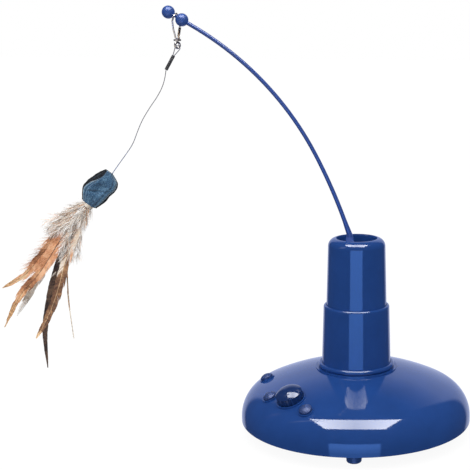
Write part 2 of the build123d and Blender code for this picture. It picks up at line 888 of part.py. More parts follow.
def output_shaft():
    """The shaft from the gear train up into the rotor's hub, drilled for the rotor's screw."""
    low = frame_height + gear_play
    top = rotor_low + hub_height - column_wall
    shaft = rod(output_shaft_radius, top - low, (0, 0, low))
    return shaft - rod(screw_radius, screw_length, (0, 0, top - screw_length / 2 - seat_gap))


def bush(low, height):
    """A bearing for the output shaft, with its flange on top."""
    outer = output_shaft_radius + bush_wall
    body = rod(outer, height, (0, 0, low))
    body = body + rod(outer + bush_wall / 2, bush_flange, (0, 0, low + height))
    return body - rod(output_shaft_radius + shaft_clearance, 3 * height, (0, 0, low - height))


def gearbox_base():
    plate = rod(frame_plate_radius, frame_plate, (0, 0, frame_height))
    for angle in pillar_angles:
        x, y, z = polar(pillar_ring_radius, angle)
        plate = plate + rod(pillar_radius, frame_roof - frame_top_of_base, (x, y, frame_top_of_base))
    for angle in pillar_angles:
        x, y, z = polar(pillar_ring_radius, angle)
        plate = plate - rod(screw_radius, frame_roof, (x, y, frame_height - cut_over))
    places = gear_places()
    for x, y in places[:2]:
        plate = plate - rod(gear_pin_radius, frame_plate + 2 * cut_over, (x, y, frame_height - cut_over))
    x, y = places[2]
    plate = plate - rod(motor_boss_radius, frame_plate + 2 * cut_over, (x, y, frame_height - cut_over))
    for side in (-1, 1):
        spot = (x, y + side * motor_screw_offset, frame_height - cut_over)
        plate = plate - rod(motor_screw_radius, frame_plate + 2 * cut_over, spot)
    bearing = output_shaft_radius + bush_wall
    return plate - rod(bearing, frame_plate + 2 * cut_over, (0, 0, frame_height - cut_over))


def gearbox_cover():
    plate = rod(frame_plate_radius, cover_plate, (0, 0, frame_roof))
    for angle in pillar_angles:
        x, y, z = polar(pillar_ring_radius, angle)
        plate = plate - rod(screw_radius, cover_plate + 2 * cut_over, (x, y, frame_roof - cut_over))
    for x, y in gear_places()[:2]:
        plate = plate - rod(gear_pin_radius, cover_plate + 2 * cut_over, (x, y, frame_roof - cut_over))
    bearing = output_shaft_radius + bush_wall
    return plate - rod(bearing, cover_plate + 2 * cut_over, (0, 0, frame_roof - cut_over))


def gear_pins():
    length = frame_top - frame_height
    return group([rod(gear_pin_radius, length, (x, y, frame_height)) for x, y in gear_places()[:2]])


def drive_motor():
    x, y = gear_places()[2]
    can = rod(motor_radius, motor_length, (x, y, frame_height - motor_length))
    can = can + rod(motor_boss_radius, frame_plate / 2, (x, y, frame_height))
    can = can - rod(gear_pin_radius + shaft_clearance, motor_length, (x, y, frame_height - seat_gap))
    for side in (-1, 1):
        spot = (x, y + side * motor_screw_offset, frame_height - frame_plate)
        can = can - rod(motor_screw_radius, frame_plate + cut_over, spot)
    return can


def gearbox_screws():
    """Three long screws hold the train under the well, and two short ones hold the motor."""
    long = frame_top - frame_height + screw_length - cut_over - seat_gap
    solids = []
    for angle in pillar_angles:
        x, y, z = polar(pillar_ring_radius, angle, frame_height)
        solids.append(screw((x, y, z), 1, long))
    x, y = gear_places()[2]
    for side in (-1, 1):
        spot_y = y + side * motor_screw_offset
        shank = rod(motor_screw_radius, frame_plate * 2, (x, spot_y, frame_height - frame_plate))
        head = rod(motor_screw_radius * 1.8, gear_play, (x, spot_y, frame_top_of_base))
        solids.append(shank + head)
    return group(solids)


# Rotor in the well
rotor_low = well_floor_height + rotor_gap
socket_top = rotor_low + rotor_disc + hub_height
socket_low = socket_top - socket_depth
ferrule_waist_height = socket_top + ferrule_waist_rise
wand_start_height = socket_top + ferrule_rise


def rotor_head():
    disc = rod(rotor_radius, rotor_disc, (0, 0, rotor_low))
    hub = rod(hub_radius, hub_height - rotor_disc, (0, 0, rotor_low + rotor_disc))
    boss = rod(socket_radius + socket_wall, hub_height, (-socket_offset, 0, rotor_low + rotor_disc))
    head = disc + hub + boss
    head = head - rod(output_shaft_radius, hub_height - column_wall, (0, 0, rotor_low))
    head = head - rod(screw_radius, hub_height, (0, 0, rotor_low))
    head = head - rod(screw_head_radius + seat_gap, hub_height, (0, 0, rotor_low + hub_height))
    return head - rod(socket_radius, socket_depth + cut_over, (-socket_offset, 0, socket_low))


def rotor_screw():
    return screw((0, 0, rotor_low + hub_height), -1, column_wall + screw_length / 2)


# Wand
def wand_frame():
    """Corner points of the wand's centre line, its tip direction and where its two balls sit."""
    x, z, lean = -socket_offset, wand_start_height, 0
    runs = []
    turns = (
        (foot_bend_radius, foot_bend_angle),
        (None, foot_straight),
        (lower_bow_radius, lower_bow_angle),
        (upper_bow_radius, upper_bow_angle),
        (None, tip_straight),
    )
    for radius, value in turns:
        start = (x, z)
        if radius is None:
            x = x - value * math.sin(lean)
            z = z + value * math.cos(lean)
            runs.append((start, None, (x, z), lean))
            continue
        end = math.radians(value)
        cx = x - radius * math.cos(lean)
        cz = z - radius * math.sin(lean)
        half = (lean + end) / 2
        middle = (cx + radius * math.cos(half), cz + radius * math.sin(half))
        x = cx + radius * math.cos(end)
        z = cz + radius * math.sin(end)
        runs.append((start, middle, (x, z), lean))
        lean = end
    direction = (-math.sin(lean), 0, math.cos(lean))
    stop = (x, 0, z)
    tip = tuple(s + ball_spacing * d for s, d in zip(stop, direction))
    return runs, direction, stop, tip


def flat(point):
    return (point[0], 0, point[1])


def wand_rod():
    """Arcs swept with a falling radius, and the thin neck that both balls are pressed on."""
    runs, direction, stop, tip = wand_frame()
    edges = []
    for start, middle, end, lean in runs:
        if middle is None:
            edges.append(Line(flat(start), flat(end)))
        else:
            edges.append(ThreePointArc(flat(start), flat(middle), flat(end)))
    body = None
    for index, edge in enumerate(edges):
        sections = []
        for place in (0, 1):
            radius = wand_radii[index + place]
            sections.append(Plane(origin=edge @ place, z_dir=edge % place) * Circle(radius))
        piece = sweep(sections, path=edge, multisection=True)
        body = piece if body is None else body + piece
    body = body - (Pos(*stop) * Sphere(ball_radius))
    back = tuple(s - (ball_radius + wand_neck_radius) * d for s, d in zip(stop, direction))
    return body + between(back, tip, wand_neck_radius)


def wand_ball(at, direction, start_share):
    ball = Pos(*at) * Sphere(ball_radius)
    reach = 2 * ball_radius
    start = tuple(a - reach * d for a, d in zip(at, direction))
    end = tuple(a + start_share * reach * d for a, d in zip(at, direction))
    return ball - between(start, end, wand_neck_radius)


def wand_ferrule():
    """The plug that stands in the rotor's socket, its collar, and the flare up to the rod."""
    plug_low = socket_low + seat_gap * 2
    collar_low = socket_top + seat_gap
    collar_top = collar_low + ferrule_collar
    plug = socket_radius - shaft_clearance
    edges = [
        Line((0, plug_low), (plug, plug_low)),
        Line((plug, plug_low), (plug, collar_low)),
        Line((plug, collar_low), (ferrule_collar_radius, collar_low)),
        Line((ferrule_collar_radius, collar_low), (ferrule_collar_radius, collar_top)),
        Line((ferrule_collar_radius, collar_top), (ferrule_waist_radius, ferrule_waist_height)),
        ThreePointArc(
            (ferrule_waist_radius, ferrule_waist_height),
            (
                (ferrule_waist_radius + 2 * wand_radii[0]) / 3,
                (ferrule_waist_height + wand_start_height) / 2,
            ),
            (wand_radii[0], wand_start_height),
        ),
        Line((wand_radii[0], wand_start_height), (0, wand_start_height)),
        Line((0, wand_start_height), (0, plug_low)),
    ]
    return Pos(-socket_offset, 0, 0) * revolve(Plane.XZ * make_face(edges), Axis.Z)


# Snap hook on the neck
def neck_middle():
    runs, direction, stop, tip = wand_frame()
    return tuple((s + t) / 2 for s, t in zip(stop, tip))


def from_neck(offset):
    return tuple(n + o for n, o in zip(neck_middle(), offset))


yoke_centre = from_neck((yoke_offset, 0, -yoke_drop - yoke_thickness))


def snap_hook():
    """Bent wire over the neck, the drilled yoke at its foot, and the ear with the gate's pin."""
    route = [from_neck(p) for p in hook_route]
    wire, length, radii = tube(route, hook_wire_radius, hook_bend_radius)
    print("hook wire", round(length, 2), "mm, bends", [round(r, 2) for r in radii])
    x, y, z = yoke_centre
    yoke = rod(yoke_radius, yoke_thickness, yoke_centre)
    drill = swivel_pin_radius + shaft_clearance
    hole = rod(drill, yoke_thickness + 2 * cut_over, (x, y, z - cut_over))
    px, py, pz = from_neck(gate_foot)
    ear_x = px + gate_neck / 2 + gate_clearance + gate_ear / 2
    ear_rise = pz + gate_barrel_radius - z
    ear = block(gate_ear, gate_ear_width, ear_rise, (ear_x, py, z))
    pin = between((px - gate_neck / 2, py, pz), (ear_x, py, pz), gate_pin_radius)
    return wire + yoke - hole + ear + pin


def hook_gate():
    """The flat sprung leg that closes the hook's open side, on a barrel round its pin."""
    foot_spot = from_neck(gate_foot)
    nose = from_neck(hook_route[-1])
    run = Vector(*nose) - Vector(*foot_spot)
    length = run.length - gate_gap
    frame = Plane(origin=foot_spot, x_dir=(1, 0, 0), z_dir=run.normalized())
    neck_length = 2 * gate_barrel_radius
    leaf = block(gate_width, gate_thickness, length - neck_length, (0, 0, neck_length))
    neck = block(gate_neck, gate_thickness, neck_length)
    leg = frame.location * (leaf + neck)
    x, y, z = foot_spot
    ends = ((x - gate_neck / 2, y, z), (x + gate_neck / 2, y, z))
    bore_ends = ((x - gate_width, y, z), (x + gate_width, y, z))
    barrel = between(*ends, gate_barrel_radius)
    return leg + barrel - between(*bore_ends, gate_pin_radius + shaft_clearance)


def swivel_eye():
    """Headed pin through the yoke, carrying the ring that the wire loop hangs in."""
    x, y, z = yoke_centre
    head = rod(swivel_head_radius, swivel_head, (x, y, z + yoke_thickness + seat_gap * 2))
    ring_top = z - running_clearance
    pin_low = ring_top - eye_wire_radius
    pin = rod(swivel_pin_radius, z + yoke_thickness + seat_gap * 2 - pin_low, (x, y, pin_low))
    ring = Rot(0, 0, eye_turn) * (Rot(90, 0, 0) * Torus(eye_radius, eye_wire_radius))
    return head + pin + Pos(x, y, pin_low - eye_radius) * ring


loop_pivot = (yoke_centre[0], 0, yoke_centre[2] - running_clearance - eye_wire_radius - 2 * eye_radius)


def along_loop(distance, side=0):
    """A point down the leader's first direction from the pivot, in the plane Y = 0."""
    lean = math.radians(loop_lean)
    x = loop_pivot[0] - distance * math.sin(lean) - side * math.cos(lean)
    z = loop_pivot[2] - distance * math.cos(lean) + side * math.sin(lean)
    return (x, 0, z)


def wire_loop():
    """An eye of wire round the swivel's ring, its two ends side by side in the sleeve's mouth."""
    far = math.hypot(loop_length, loop_neck)
    turn = math.atan2(loop_neck, loop_length) + math.acos(loop_radius / far)
    touch_along = loop_radius * math.cos(turn)
    touch_side = loop_radius * math.sin(turn)
    left_end = along_loop(loop_length, -loop_neck)
    left_touch = along_loop(touch_along, -touch_side)
    right_touch = along_loop(touch_along, touch_side)
    right_end = along_loop(loop_length, loop_neck)
    edges = [
        Line(left_end, left_touch),
        ThreePointArc(left_touch, along_loop(-loop_radius), right_touch),
        Line(right_touch, right_end),
    ]
    disc = Plane(origin=left_end, z_dir=edges[0] % 0) * Circle(loop_wire_radius)
    return sweep(disc, path=Wire(edges))


def crimp_sleeve():
    start = along_loop(loop_length + crimp_gap)
    end = along_loop(loop_length + crimp_gap + sleeve_length)
    run = Vector(*end) - Vector(*start)
    frame = Plane(origin=start, x_dir=(0, 1, 0), z_dir=run.normalized())
    oval = Ellipse(sleeve_depth / 2, sleeve_width / 2)
    return frame.location * extrude(oval, sleeve_length)


def leader_wire():
    start = along_loop(loop_length + sleeve_length + 2 * crimp_gap)
    route = [start] + [from_neck(p) for p in leader_route]
    solid, length, radii = tube(route, leader_radius)
    swept = solid.volume / (math.pi * leader_radius**2)
    print("leader length", round(length, 2), "mm, from its volume", round(swept, 2))
    print("leader bend radii", [round(r, 1) for r in radii])
    return solid


# Felt bud and feathers
def bud_plane():
    """X across the bud, Y out of its face towards -Y, Z down its length."""
    lean = math.radians(bud_lean)
    down = (-math.sin(lean), 0, -math.cos(lean))
    across = (-math.cos(lean), 0, math.sin(lean))
    return Plane(origin=from_neck(bud_top), x_dir=across, z_dir=down)


def bud_leaf(side):
    """One crowned felt leaf: flat on the lining's side, swelling to its crown on the other."""
    faces = []
    lift = side * (lining_thickness / 2)
    for share, half, crown, shift in zip(bud_stations_share, bud_half_widths, bud_crown_share, bud_skews):
        rise = side * half * crown
        outline = [
            Line((shift - half, lift), (shift + half, lift)),
            ThreePointArc((shift + half, lift), (shift, lift + rise), (shift - half, lift)),
        ]
        faces.append(Pos(0, 0, share * bud_length) * make_face(outline))
    return bud_plane().location * loft(faces)


def bud_lining():
    """The dark middle layer, cut a little wider than the leaves so that its edge shows."""
    left = []
    right = []
    for share, half, shift in zip(bud_stations_share, bud_half_widths, bud_skews):
        left.append((shift - half - lining_reach, share * bud_length))
        right.append((shift + half + lining_reach, share * bud_length))
    outline = [
        Spline(*left),
        Line(left[-1], right[-1]),
        Spline(*reversed(right)),
        Line(right[0], left[0]),
    ]
    sheet = extrude(make_face(outline), lining_thickness / 2, both=True)
    return bud_plane().location * (Rot(90, 0, 0) * sheet)


def along_bud(distance):
    frame = bud_plane()
    spot = frame.origin + frame.z_dir * distance + frame.x_dir * bud_skews[-1]
    return spot.X, spot.Z


def binding_place(side=0):
    """A point on the binding's lower face, moved in Y by the feather's layer."""
    x, z = along_bud(bud_length + binding_length)
    return (x, side, z)


def quill_binding():
    x, z = along_bud(bud_length)
    return between((x, 0, z), binding_place(), binding_radius)


def feather(name):
    """A quill and a bowed vane between two arcs, in a plane that leans out towards the tip."""
    root_xz, tip_xz, bow, half_width, layer, spread = feather_table[name]
    mouth = Vector(*binding_place(layer))
    root = Vector(*from_neck((root_xz[0], layer, root_xz[1])))
    tip = Vector(*from_neck((tip_xz[0], layer + spread, tip_xz[1])))
    chord = tip - root
    normal = Vector(0, 1, 0) - chord.normalized() * chord.normalized().dot(Vector(0, 1, 0))
    frame = Plane(origin=root, x_dir=chord.normalized(), z_dir=normal.normalized())
    length = chord.length
    outline = [
        ThreePointArc((0, 0), (length / 2, bow + half_width), (length, 0)),
        ThreePointArc((length, 0), (length / 2, bow - half_width), (0, 0)),
    ]
    vane = extrude(make_face(outline), vane_thickness / 2, both=True)
    quill = between(tuple(mouth), tuple(root + chord.normalized() * (4 * quill_radius)), quill_radius)
    return frame.location * vane + quill


def down_tuft(name):
    """A soft spindle of down beside the quills."""
    end_xz, width, depth, side = down_table[name]
    x, z = along_bud(bud_length + binding_length + down_start)
    start = Vector(x, side * down_foot_offset, z)
    end = Vector(*from_neck((end_xz[0], side * down_tip_offset, end_xz[1])))
    run = end - start
    frame = Plane(origin=start, x_dir=(0, 1, 0), z_dir=run.normalized())
    faces = []
    for share, size in down_stations_share:
        faces.append(Pos(0, 0, share * run.length) * Ellipse(size * depth, size * width))
    return frame.location * loft(faces)


# Wiring between the board, the battery box, the switches and the motor
def switch_lead(frame_a, depth_a, side_a, frame_b, depth_b, side_b):
    """A lead from under one switch to under the next."""
    points = []
    for frame, depth, side, level in (
        (frame_a, depth_a, side_a, 0),
        (frame_a, depth_a, side_a, lead_drop),
        (frame_b, depth_b, side_b, lead_drop),
        (frame_b, depth_b, side_b, 0),
    ):
        spot = frame.from_local_coords(Vector(side * lead_spread, 0, -depth - level))
        points.append(tuple(spot))
    return tube(points, lead_radius)[0]


def wire_harness():
    """Leads from the motor and the battery box to the board, and from switch to switch."""
    solids = []
    mx, my = gear_places()[2]
    plug_y = board_middle_y - board_size_y / 4
    plug_top = board_top + plug_height
    hole_level = seat_height - 2 * shell_wall
    for side in (-1, 1):
        x = plug_size + side * plug_size / 4
        start = (mx + side * lead_spread, my, frame_height - motor_length)
        above = (mx + side * lead_spread, my + side * lead_radius, hole_level)
        over = (x, plug_y - lead_reach, hole_level - 2 * lead_reach)
        down = [(x, plug_y, plug_top + lead_drop), (x, plug_y, plug_top)]
        solids.append(tube([start, above, over] + down, lead_radius)[0])
        x = -x
        start = (x, box_half_y + box_wall, box_top - lead_drop)
        out = (x, box_half_y + box_wall + lead_reach, box_top - lead_drop)
        down = [(x, plug_y, plug_top + lead_drop), (x, plug_y, plug_top)]
        solids.append(tube([start, out] + down, lead_radius)[0])
    planes = control_planes()
    deep = guide_depth + switch_thickness
    selector_deep = selector_boss + selector_length
    chain = (
        ("button_right", deep, 0, "knob", selector_deep, 1),
        ("knob", selector_deep, -1, "button_left", deep, 1),
        ("button_left", deep, -1, "button_back", deep, 1),
    )
    for name_a, depth_a, side_a, name_b, depth_b, side_b in chain:
        solids.append(switch_lead(planes[name_a], depth_a, side_a, planes[name_b], depth_b, side_b))
    return group(solids)


# Build
save(base_shell(), "base_shell")
save(base_plate(), "base_plate")
for index, side_name in enumerate(("front", "right", "back", "left")):
    save(foot(index), f"foot_{side_name}")
save(plate_screws(), "plate_screws")
save(battery_door(), "battery_door")
save(door_screw(), "door_screw")
save(battery_cells(), "battery_cells")
save(contact_plates(), "contact_plates")
save(contact_springs(), "contact_springs")
save(knob(), "selector_knob")
for button_name in button_ring_shares:
    save(button(button_name), button_name)
save(control_board(), "control_board")
save(board_parts(), "board_parts")
save(selector_switch(), "selector_switch")
save(button_switches(), "button_switches")
save(column_lower(), "column_lower")
save(column_upper(), "column_upper")
save(column_screws(), "column_screws")
save(gearbox_base(), "gearbox_base")
save(gearbox_cover(), "gearbox_cover")
save(gear_pins(), "gear_pins")
save(drive_motor(), "drive_motor")
save(motor_pinion(), "motor_pinion")
place_b, place_a, place_m = gear_places()
phases = mesh_phases()
save(idler_gear(place_a, level_one, phases[4], phases[3]), "idler_gear_a")
save(idler_gear(place_b, level_two, phases[2], phases[1]), "idler_gear_b")
save(output_gear(), "output_gear")
save(output_shaft(), "output_shaft")
save(bush(frame_height, frame_plate), "lower_bush")
save(bush(well_floor_height - column_wall, column_wall), "upper_bush")
save(gearbox_screws(), "gearbox_screws")
save(rotor_head(), "rotor_head")
save(rotor_screw(), "rotor_screw")
save(wire_harness(), "wire_harness")
wand_runs, tip_direction, stop_place, tip_place = wand_frame()
print("stop ball", stop_place, "tip ball", tip_place)
save(wand_ferrule(), "wand_ferrule")
save(wand_rod(), "wand_rod")
save(wand_ball(stop_place, tip_direction, 1), "stop_ball")
save(wand_ball(tip_place, tip_direction, 0), "tip_ball")
save(snap_hook(), "snap_hook")
save(hook_gate(), "hook_gate")
save(swivel_eye(), "swivel_eye")
save(wire_loop(), "wire_loop")
save(crimp_sleeve(), "crimp_sleeve")
save(leader_wire(), "leader_wire")
save(bud_leaf(-1), "bud_front")
save(bud_leaf(1), "bud_back")
save(bud_lining(), "bud_lining")
save(quill_binding(), "quill_binding")
for feather_name in feather_table:
    save(feather(feather_name), feather_name)
for down_name in down_table:
    save(down_tuft(down_name), down_name)
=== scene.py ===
import json
import math
import random

import bpy
from mathutils import Matrix, Vector


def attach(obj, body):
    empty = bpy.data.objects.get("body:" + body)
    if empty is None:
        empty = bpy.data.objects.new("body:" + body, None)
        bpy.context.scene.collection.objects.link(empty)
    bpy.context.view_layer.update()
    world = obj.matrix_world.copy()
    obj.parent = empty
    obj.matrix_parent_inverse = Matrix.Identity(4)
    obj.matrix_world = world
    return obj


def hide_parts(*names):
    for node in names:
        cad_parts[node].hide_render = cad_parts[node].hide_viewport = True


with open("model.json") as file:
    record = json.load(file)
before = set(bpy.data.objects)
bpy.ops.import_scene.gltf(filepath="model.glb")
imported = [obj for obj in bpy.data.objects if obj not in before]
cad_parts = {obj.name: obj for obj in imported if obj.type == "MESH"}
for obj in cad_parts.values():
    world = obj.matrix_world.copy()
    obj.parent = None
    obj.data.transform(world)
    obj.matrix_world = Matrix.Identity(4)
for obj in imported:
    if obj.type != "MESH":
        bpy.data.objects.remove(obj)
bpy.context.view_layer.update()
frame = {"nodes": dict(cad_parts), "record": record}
nodes = frame["nodes"]
MM = 0.001

# The camera, as fitted to the photo: its picture in pixels, its film in millimetres, its place in
# metres and its turns in degrees
PICTURE_SIDE = 470.0
FOCAL_PIXELS = 1225.1
AXIS_PIXEL = 379.7
FILM_WIDTH = 36.0
CAMERA_PLACE = (0.02256, -1.18323, 0.43339)
CAMERA_DIP = 11.156
CAMERA_ROLL = 0.443


# Node helpers
def new_material(name):
    """A material with one plain shader, the tree it is in and that shader."""
    mat = bpy.data.materials.new(name)
    mat.use_nodes = True
    tree = mat.node_tree
    tree.nodes.clear()
    out = tree.nodes.new("ShaderNodeOutputMaterial")
    bsdf = tree.nodes.new("ShaderNodeBsdfPrincipled")
    tree.links.new(bsdf.outputs["BSDF"], out.inputs["Surface"])
    return mat, tree, bsdf


def coords(tree):
    """A place on the object, in metres."""
    return tree.nodes.new("ShaderNodeTexCoord").outputs["Object"]


def axes(tree, vector):
    """The three numbers of a vector, by name."""
    node = tree.nodes.new("ShaderNodeSeparateXYZ")
    tree.links.new(vector, node.inputs["Vector"])
    return node.outputs


def noise(tree, scale, detail=3.0, rough=0.5, stretch=None):
    tex = tree.nodes.new("ShaderNodeTexNoise")
    tex.inputs["Scale"].default_value = scale
    tex.inputs["Detail"].default_value = detail
    tex.inputs["Roughness"].default_value = rough
    link = coords(tree)
    if stretch:
        mapping = tree.nodes.new("ShaderNodeMapping")
        mapping.inputs["Scale"].default_value = stretch
        tree.links.new(link, mapping.inputs["Vector"])
        link = mapping.outputs["Vector"]
    tree.links.new(link, tex.inputs["Vector"])
    return tex.outputs["Fac"]


def ramp(tree, source, stops):
    """The colour at source, from stops of a place and a colour."""
    node = tree.nodes.new("ShaderNodeValToRGB")
    elements = node.color_ramp.elements
    while len(elements) < len(stops):
        elements.new(0.5)
    for element, (place, colour) in zip(elements, stops):
        element.position = place
        element.color = (*colour, 1.0)
    tree.links.new(source, node.inputs["Fac"])
    return node.outputs["Color"]


def spread(tree, source, low, high, start=0.0, end=1.0):
    """A value that goes from low to high while source goes from start to end."""
    node = tree.nodes.new("ShaderNodeMapRange")
    node.inputs["From Min"].default_value = start
    node.inputs["From Max"].default_value = end
    node.inputs["To Min"].default_value = low
    node.inputs["To Max"].default_value = high
    tree.links.new(source, node.inputs["Value"])
    return node.outputs["Result"]


def math_node(tree, kind, *values):
    node = tree.nodes.new("ShaderNodeMath")
    node.operation = kind
    for index, value in enumerate(values):
        if isinstance(value, (int, float)):
            node.inputs[index].default_value = value
        else:
            tree.links.new(value, node.inputs[index])
    return node.outputs["Value"]


def times(tree, a, b):
    return math_node(tree, "MULTIPLY", a, b)


def weighted(tree, a, share_a, b, share_b):
    """The sum of two values, each times its share."""
    return math_node(tree, "ADD", times(tree, a, share_a), times(tree, b, share_b))


def bump(tree, bsdf, height, strength, distance):
    node = tree.nodes.new("ShaderNodeBump")
    node.inputs["Strength"].default_value = strength
    node.inputs["Distance"].default_value = distance
    tree.links.new(height, node.inputs["Height"])
    tree.links.new(node.outputs["Normal"], bsdf.inputs["Normal"])


def mottled(tree, bsdf, colour, scale, dark, pale, stretch=None):
    """A base colour that wanders between a darker and a paler shade."""
    mottle = noise(tree, scale, detail=4.0, stretch=stretch)
    tone = ramp(tree, mottle, [(0.3, shade(colour, dark)), (0.7, shade(colour, pale))])
    tree.links.new(tone, bsdf.inputs["Base Color"])


def smeared(tree, bsdf, low, high, scale, detail, rough=0.5, stretch=None):
    """A roughness that wanders between low and high."""
    smear = noise(tree, scale, detail, rough, stretch)
    tree.links.new(spread(tree, smear, low, high, start=0.3, end=0.7), bsdf.inputs["Roughness"])


def linear(r, g, b):
    """The linear colour of a screen colour in steps of 0 to 255."""

    def one(v):
        v = v / 255
        return v / 12.92 if v <= 0.04045 else ((v + 0.055) / 1.055) ** 2.4

    return (one(r), one(g), one(b))


def shade(colour, factor):
    return tuple(min(1.0, c * factor) for c in colour)


# Kinds of material. Screen colours for plastics, felts and feathers, linear ones for metals
BRIGHT_STEEL = (0.8, 0.74, 0.66)
SHADED_STEEL = (0.34, 0.27, 0.2)
# The gate's steel is the bright steel darkened to the tone of the hook's shaded leg: painted shade
SHADED_GATE_STEEL = (0.33, 0.25, 0.18)
ZINC = (0.62, 0.63, 0.65)


def gloss_plastic(name, colour, low, high):
    mat, tree, bsdf = new_material(name)
    mottled(tree, bsdf, linear(*colour), scale=55.0, dark=0.95, pale=1.05)
    smeared(tree, bsdf, low, high, scale=24.0, detail=5.0, rough=0.6)
    bsdf.inputs["IOR"].default_value = 1.5
    return mat


def matte_plastic(name, colour, rough):
    mat, tree, bsdf = new_material(name)
    mottled(tree, bsdf, linear(*colour), scale=70.0, dark=0.9, pale=1.08)
    smeared(tree, bsdf, rough - 0.07, rough + 0.07, scale=40.0, detail=4.0)
    grain = noise(tree, scale=1400.0, detail=2.0)
    bump(tree, bsdf, grain, strength=0.35, distance=0.1 * MM)
    return mat


def metal(name, colour, low, high, stretch=None, scratch=0.05):
    mat, tree, bsdf = new_material(name)
    mottled(tree, bsdf, colour, scale=300.0, dark=0.9, pale=1.05, stretch=stretch)
    bsdf.inputs["Metallic"].default_value = 1.0
    smeared(tree, bsdf, low, high, scale=500.0, detail=5.0, stretch=stretch)
    scratches = noise(tree, scale=900.0, detail=3.0, stretch=stretch)
    bump(tree, bsdf, scratches, strength=scratch, distance=0.1 * MM)
    return mat


def hook_metal(name):
    """Bright wire that darkens where the leg that closes on the gate turns away from the light."""
    mat, tree, bsdf = new_material(name)
    across = axes(tree, coords(tree))["X"]
    mottle = noise(tree, scale=300.0, detail=4.0)
    leg = math_node(tree, "ADD", across, times(tree, mottle, 1.2 * MM))
    share = spread(tree, leg, 0.0, 1.0, start=-172.8 * MM, end=-170.6 * MM)
    tone = ramp(tree, share, [(0.0, BRIGHT_STEEL), (1.0, SHADED_STEEL)])
    tree.links.new(tone, bsdf.inputs["Base Color"])
    bsdf.inputs["Metallic"].default_value = 1.0
    smeared(tree, bsdf, low=0.18, high=0.3, scale=500.0, detail=5.0)
    return mat


def crimp(name):
    """Black sleeve with small dents."""
    mat, tree, bsdf = new_material(name)
    cells = tree.nodes.new("ShaderNodeTexVoronoi")
    cells.inputs["Scale"].default_value = 1150.0
    tree.links.new(coords(tree), cells.inputs["Vector"])
    stops = [(0.1, linear(26, 26, 28)), (0.6, linear(48, 48, 50)), (0.9, linear(96, 96, 98))]
    tone = ramp(tree, cells.outputs["Distance"], stops)
    tree.links.new(tone, bsdf.inputs["Base Color"])
    bsdf.inputs["Roughness"].default_value = 0.42
    bump(tree, bsdf, cells.outputs["Distance"], strength=0.8, distance=0.5 * MM)
    return mat


def felt(name, dark, mid, pale, scale=900.0):
    mat, tree, bsdf = new_material(name)
    fibre = noise(tree, scale, detail=6.0, rough=0.7)
    patch = noise(tree, scale=130.0, detail=4.0, rough=0.6)
    mixed = weighted(tree, fibre, 0.65, patch, 0.35)
    tone = ramp(tree, mixed, [(0.36, linear(*dark)), (0.5, linear(*mid)), (0.64, linear(*pale))])
    tree.links.new(tone, bsdf.inputs["Base Color"])
    bsdf.inputs["Roughness"].default_value = 0.95
    bsdf.inputs["Specular IOR Level"].default_value = 0.15
    bsdf.inputs["Sheen Weight"].default_value = 0.35
    bsdf.inputs["Sheen Roughness"].default_value = 0.5
    bump(tree, bsdf, mixed, strength=0.9, distance=0.9 * MM)
    return mat


def barbs(name, dark, mid, pale, sheen=0.15):
    """Feather barbs: fine streaks over broad patches."""
    mat, tree, bsdf = new_material(name)
    streaks = noise(tree, scale=420.0, detail=3.0, rough=0.6)
    patch = noise(tree, scale=60.0, detail=1.0)
    mixed = weighted(tree, streaks, 0.45, patch, 0.55)
    tone = ramp(tree, mixed, [(0.36, linear(*dark)), (0.5, linear(*mid)), (0.63, linear(*pale))])
    tree.links.new(tone, bsdf.inputs["Base Color"])
    bsdf.inputs["Roughness"].default_value = 0.6
    bsdf.inputs["Specular IOR Level"].default_value = 0.3
    bsdf.inputs["Sheen Weight"].default_value = sheen
    bump(tree, bsdf, streaks, strength=0.4, distance=0.2 * MM)
    return mat


# Materials of the solids, by slot
wire_grey = metal("wire_grey", linear(165, 163, 165), 0.25, 0.4, stretch=(1, 1, 8), scratch=0.3)
felt_blue = felt("felt_blue", (22, 42, 66), (56, 92, 124), (112, 148, 172))
felt_black = felt("felt_black", (10, 12, 16), (22, 24, 30), (52, 56, 64))
vane_amber = barbs("vane_amber", (188, 120, 78), (224, 160, 116), (244, 196, 156))
vane_brown = barbs("vane_brown", (78, 52, 34), (130, 90, 60), (190, 144, 100))
down_cream = barbs("down_cream", (206, 184, 162), (230, 212, 192), (248, 238, 226), 0.4)

slot_materials = {
    "blue_gloss": gloss_plastic("blue_gloss", (32, 67, 131), 0.05, 0.09),
    "blue_plate": matte_plastic("blue_plate", (34, 68, 132), 0.42),
    "wand_blue": gloss_plastic("wand_blue", (44, 78, 150), 0.3, 0.36),
    "rotor_blue": matte_plastic("rotor_blue", (32, 62, 120), 0.35),
    "gear_white": matte_plastic("gear_white", (228, 226, 215), 0.4),
    "frame_black": matte_plastic("frame_black", (32, 32, 36), 0.5),
    "bright_steel": metal("bright_steel", BRIGHT_STEEL, 0.18, 0.3),
    "zinc_steel": metal("zinc_steel", ZINC, 0.28, 0.4),
    "bronze_bush": metal("bronze_bush", linear(190, 140, 84), 0.35, 0.5),
    "wire_grey": wire_grey,
    "crimp_black": crimp("crimp_black"),
    "cell_jacket": gloss_plastic("cell_jacket", (52, 53, 58), 0.2, 0.35),
    "board_green": gloss_plastic("board_green", (24, 92, 52), 0.25, 0.4),
    "lead_red": matte_plastic("lead_red", (140, 30, 26), 0.45),
    "felt_blue": felt_blue,
    "felt_black": felt_black,
    "thread_pale": felt("thread_pale", (170, 150, 128), (216, 204, 188), (240, 234, 224), 1500.0),
    "feather_amber": vane_amber,
    "feather_brown": vane_brown,
    "down_grey": down_cream,
}
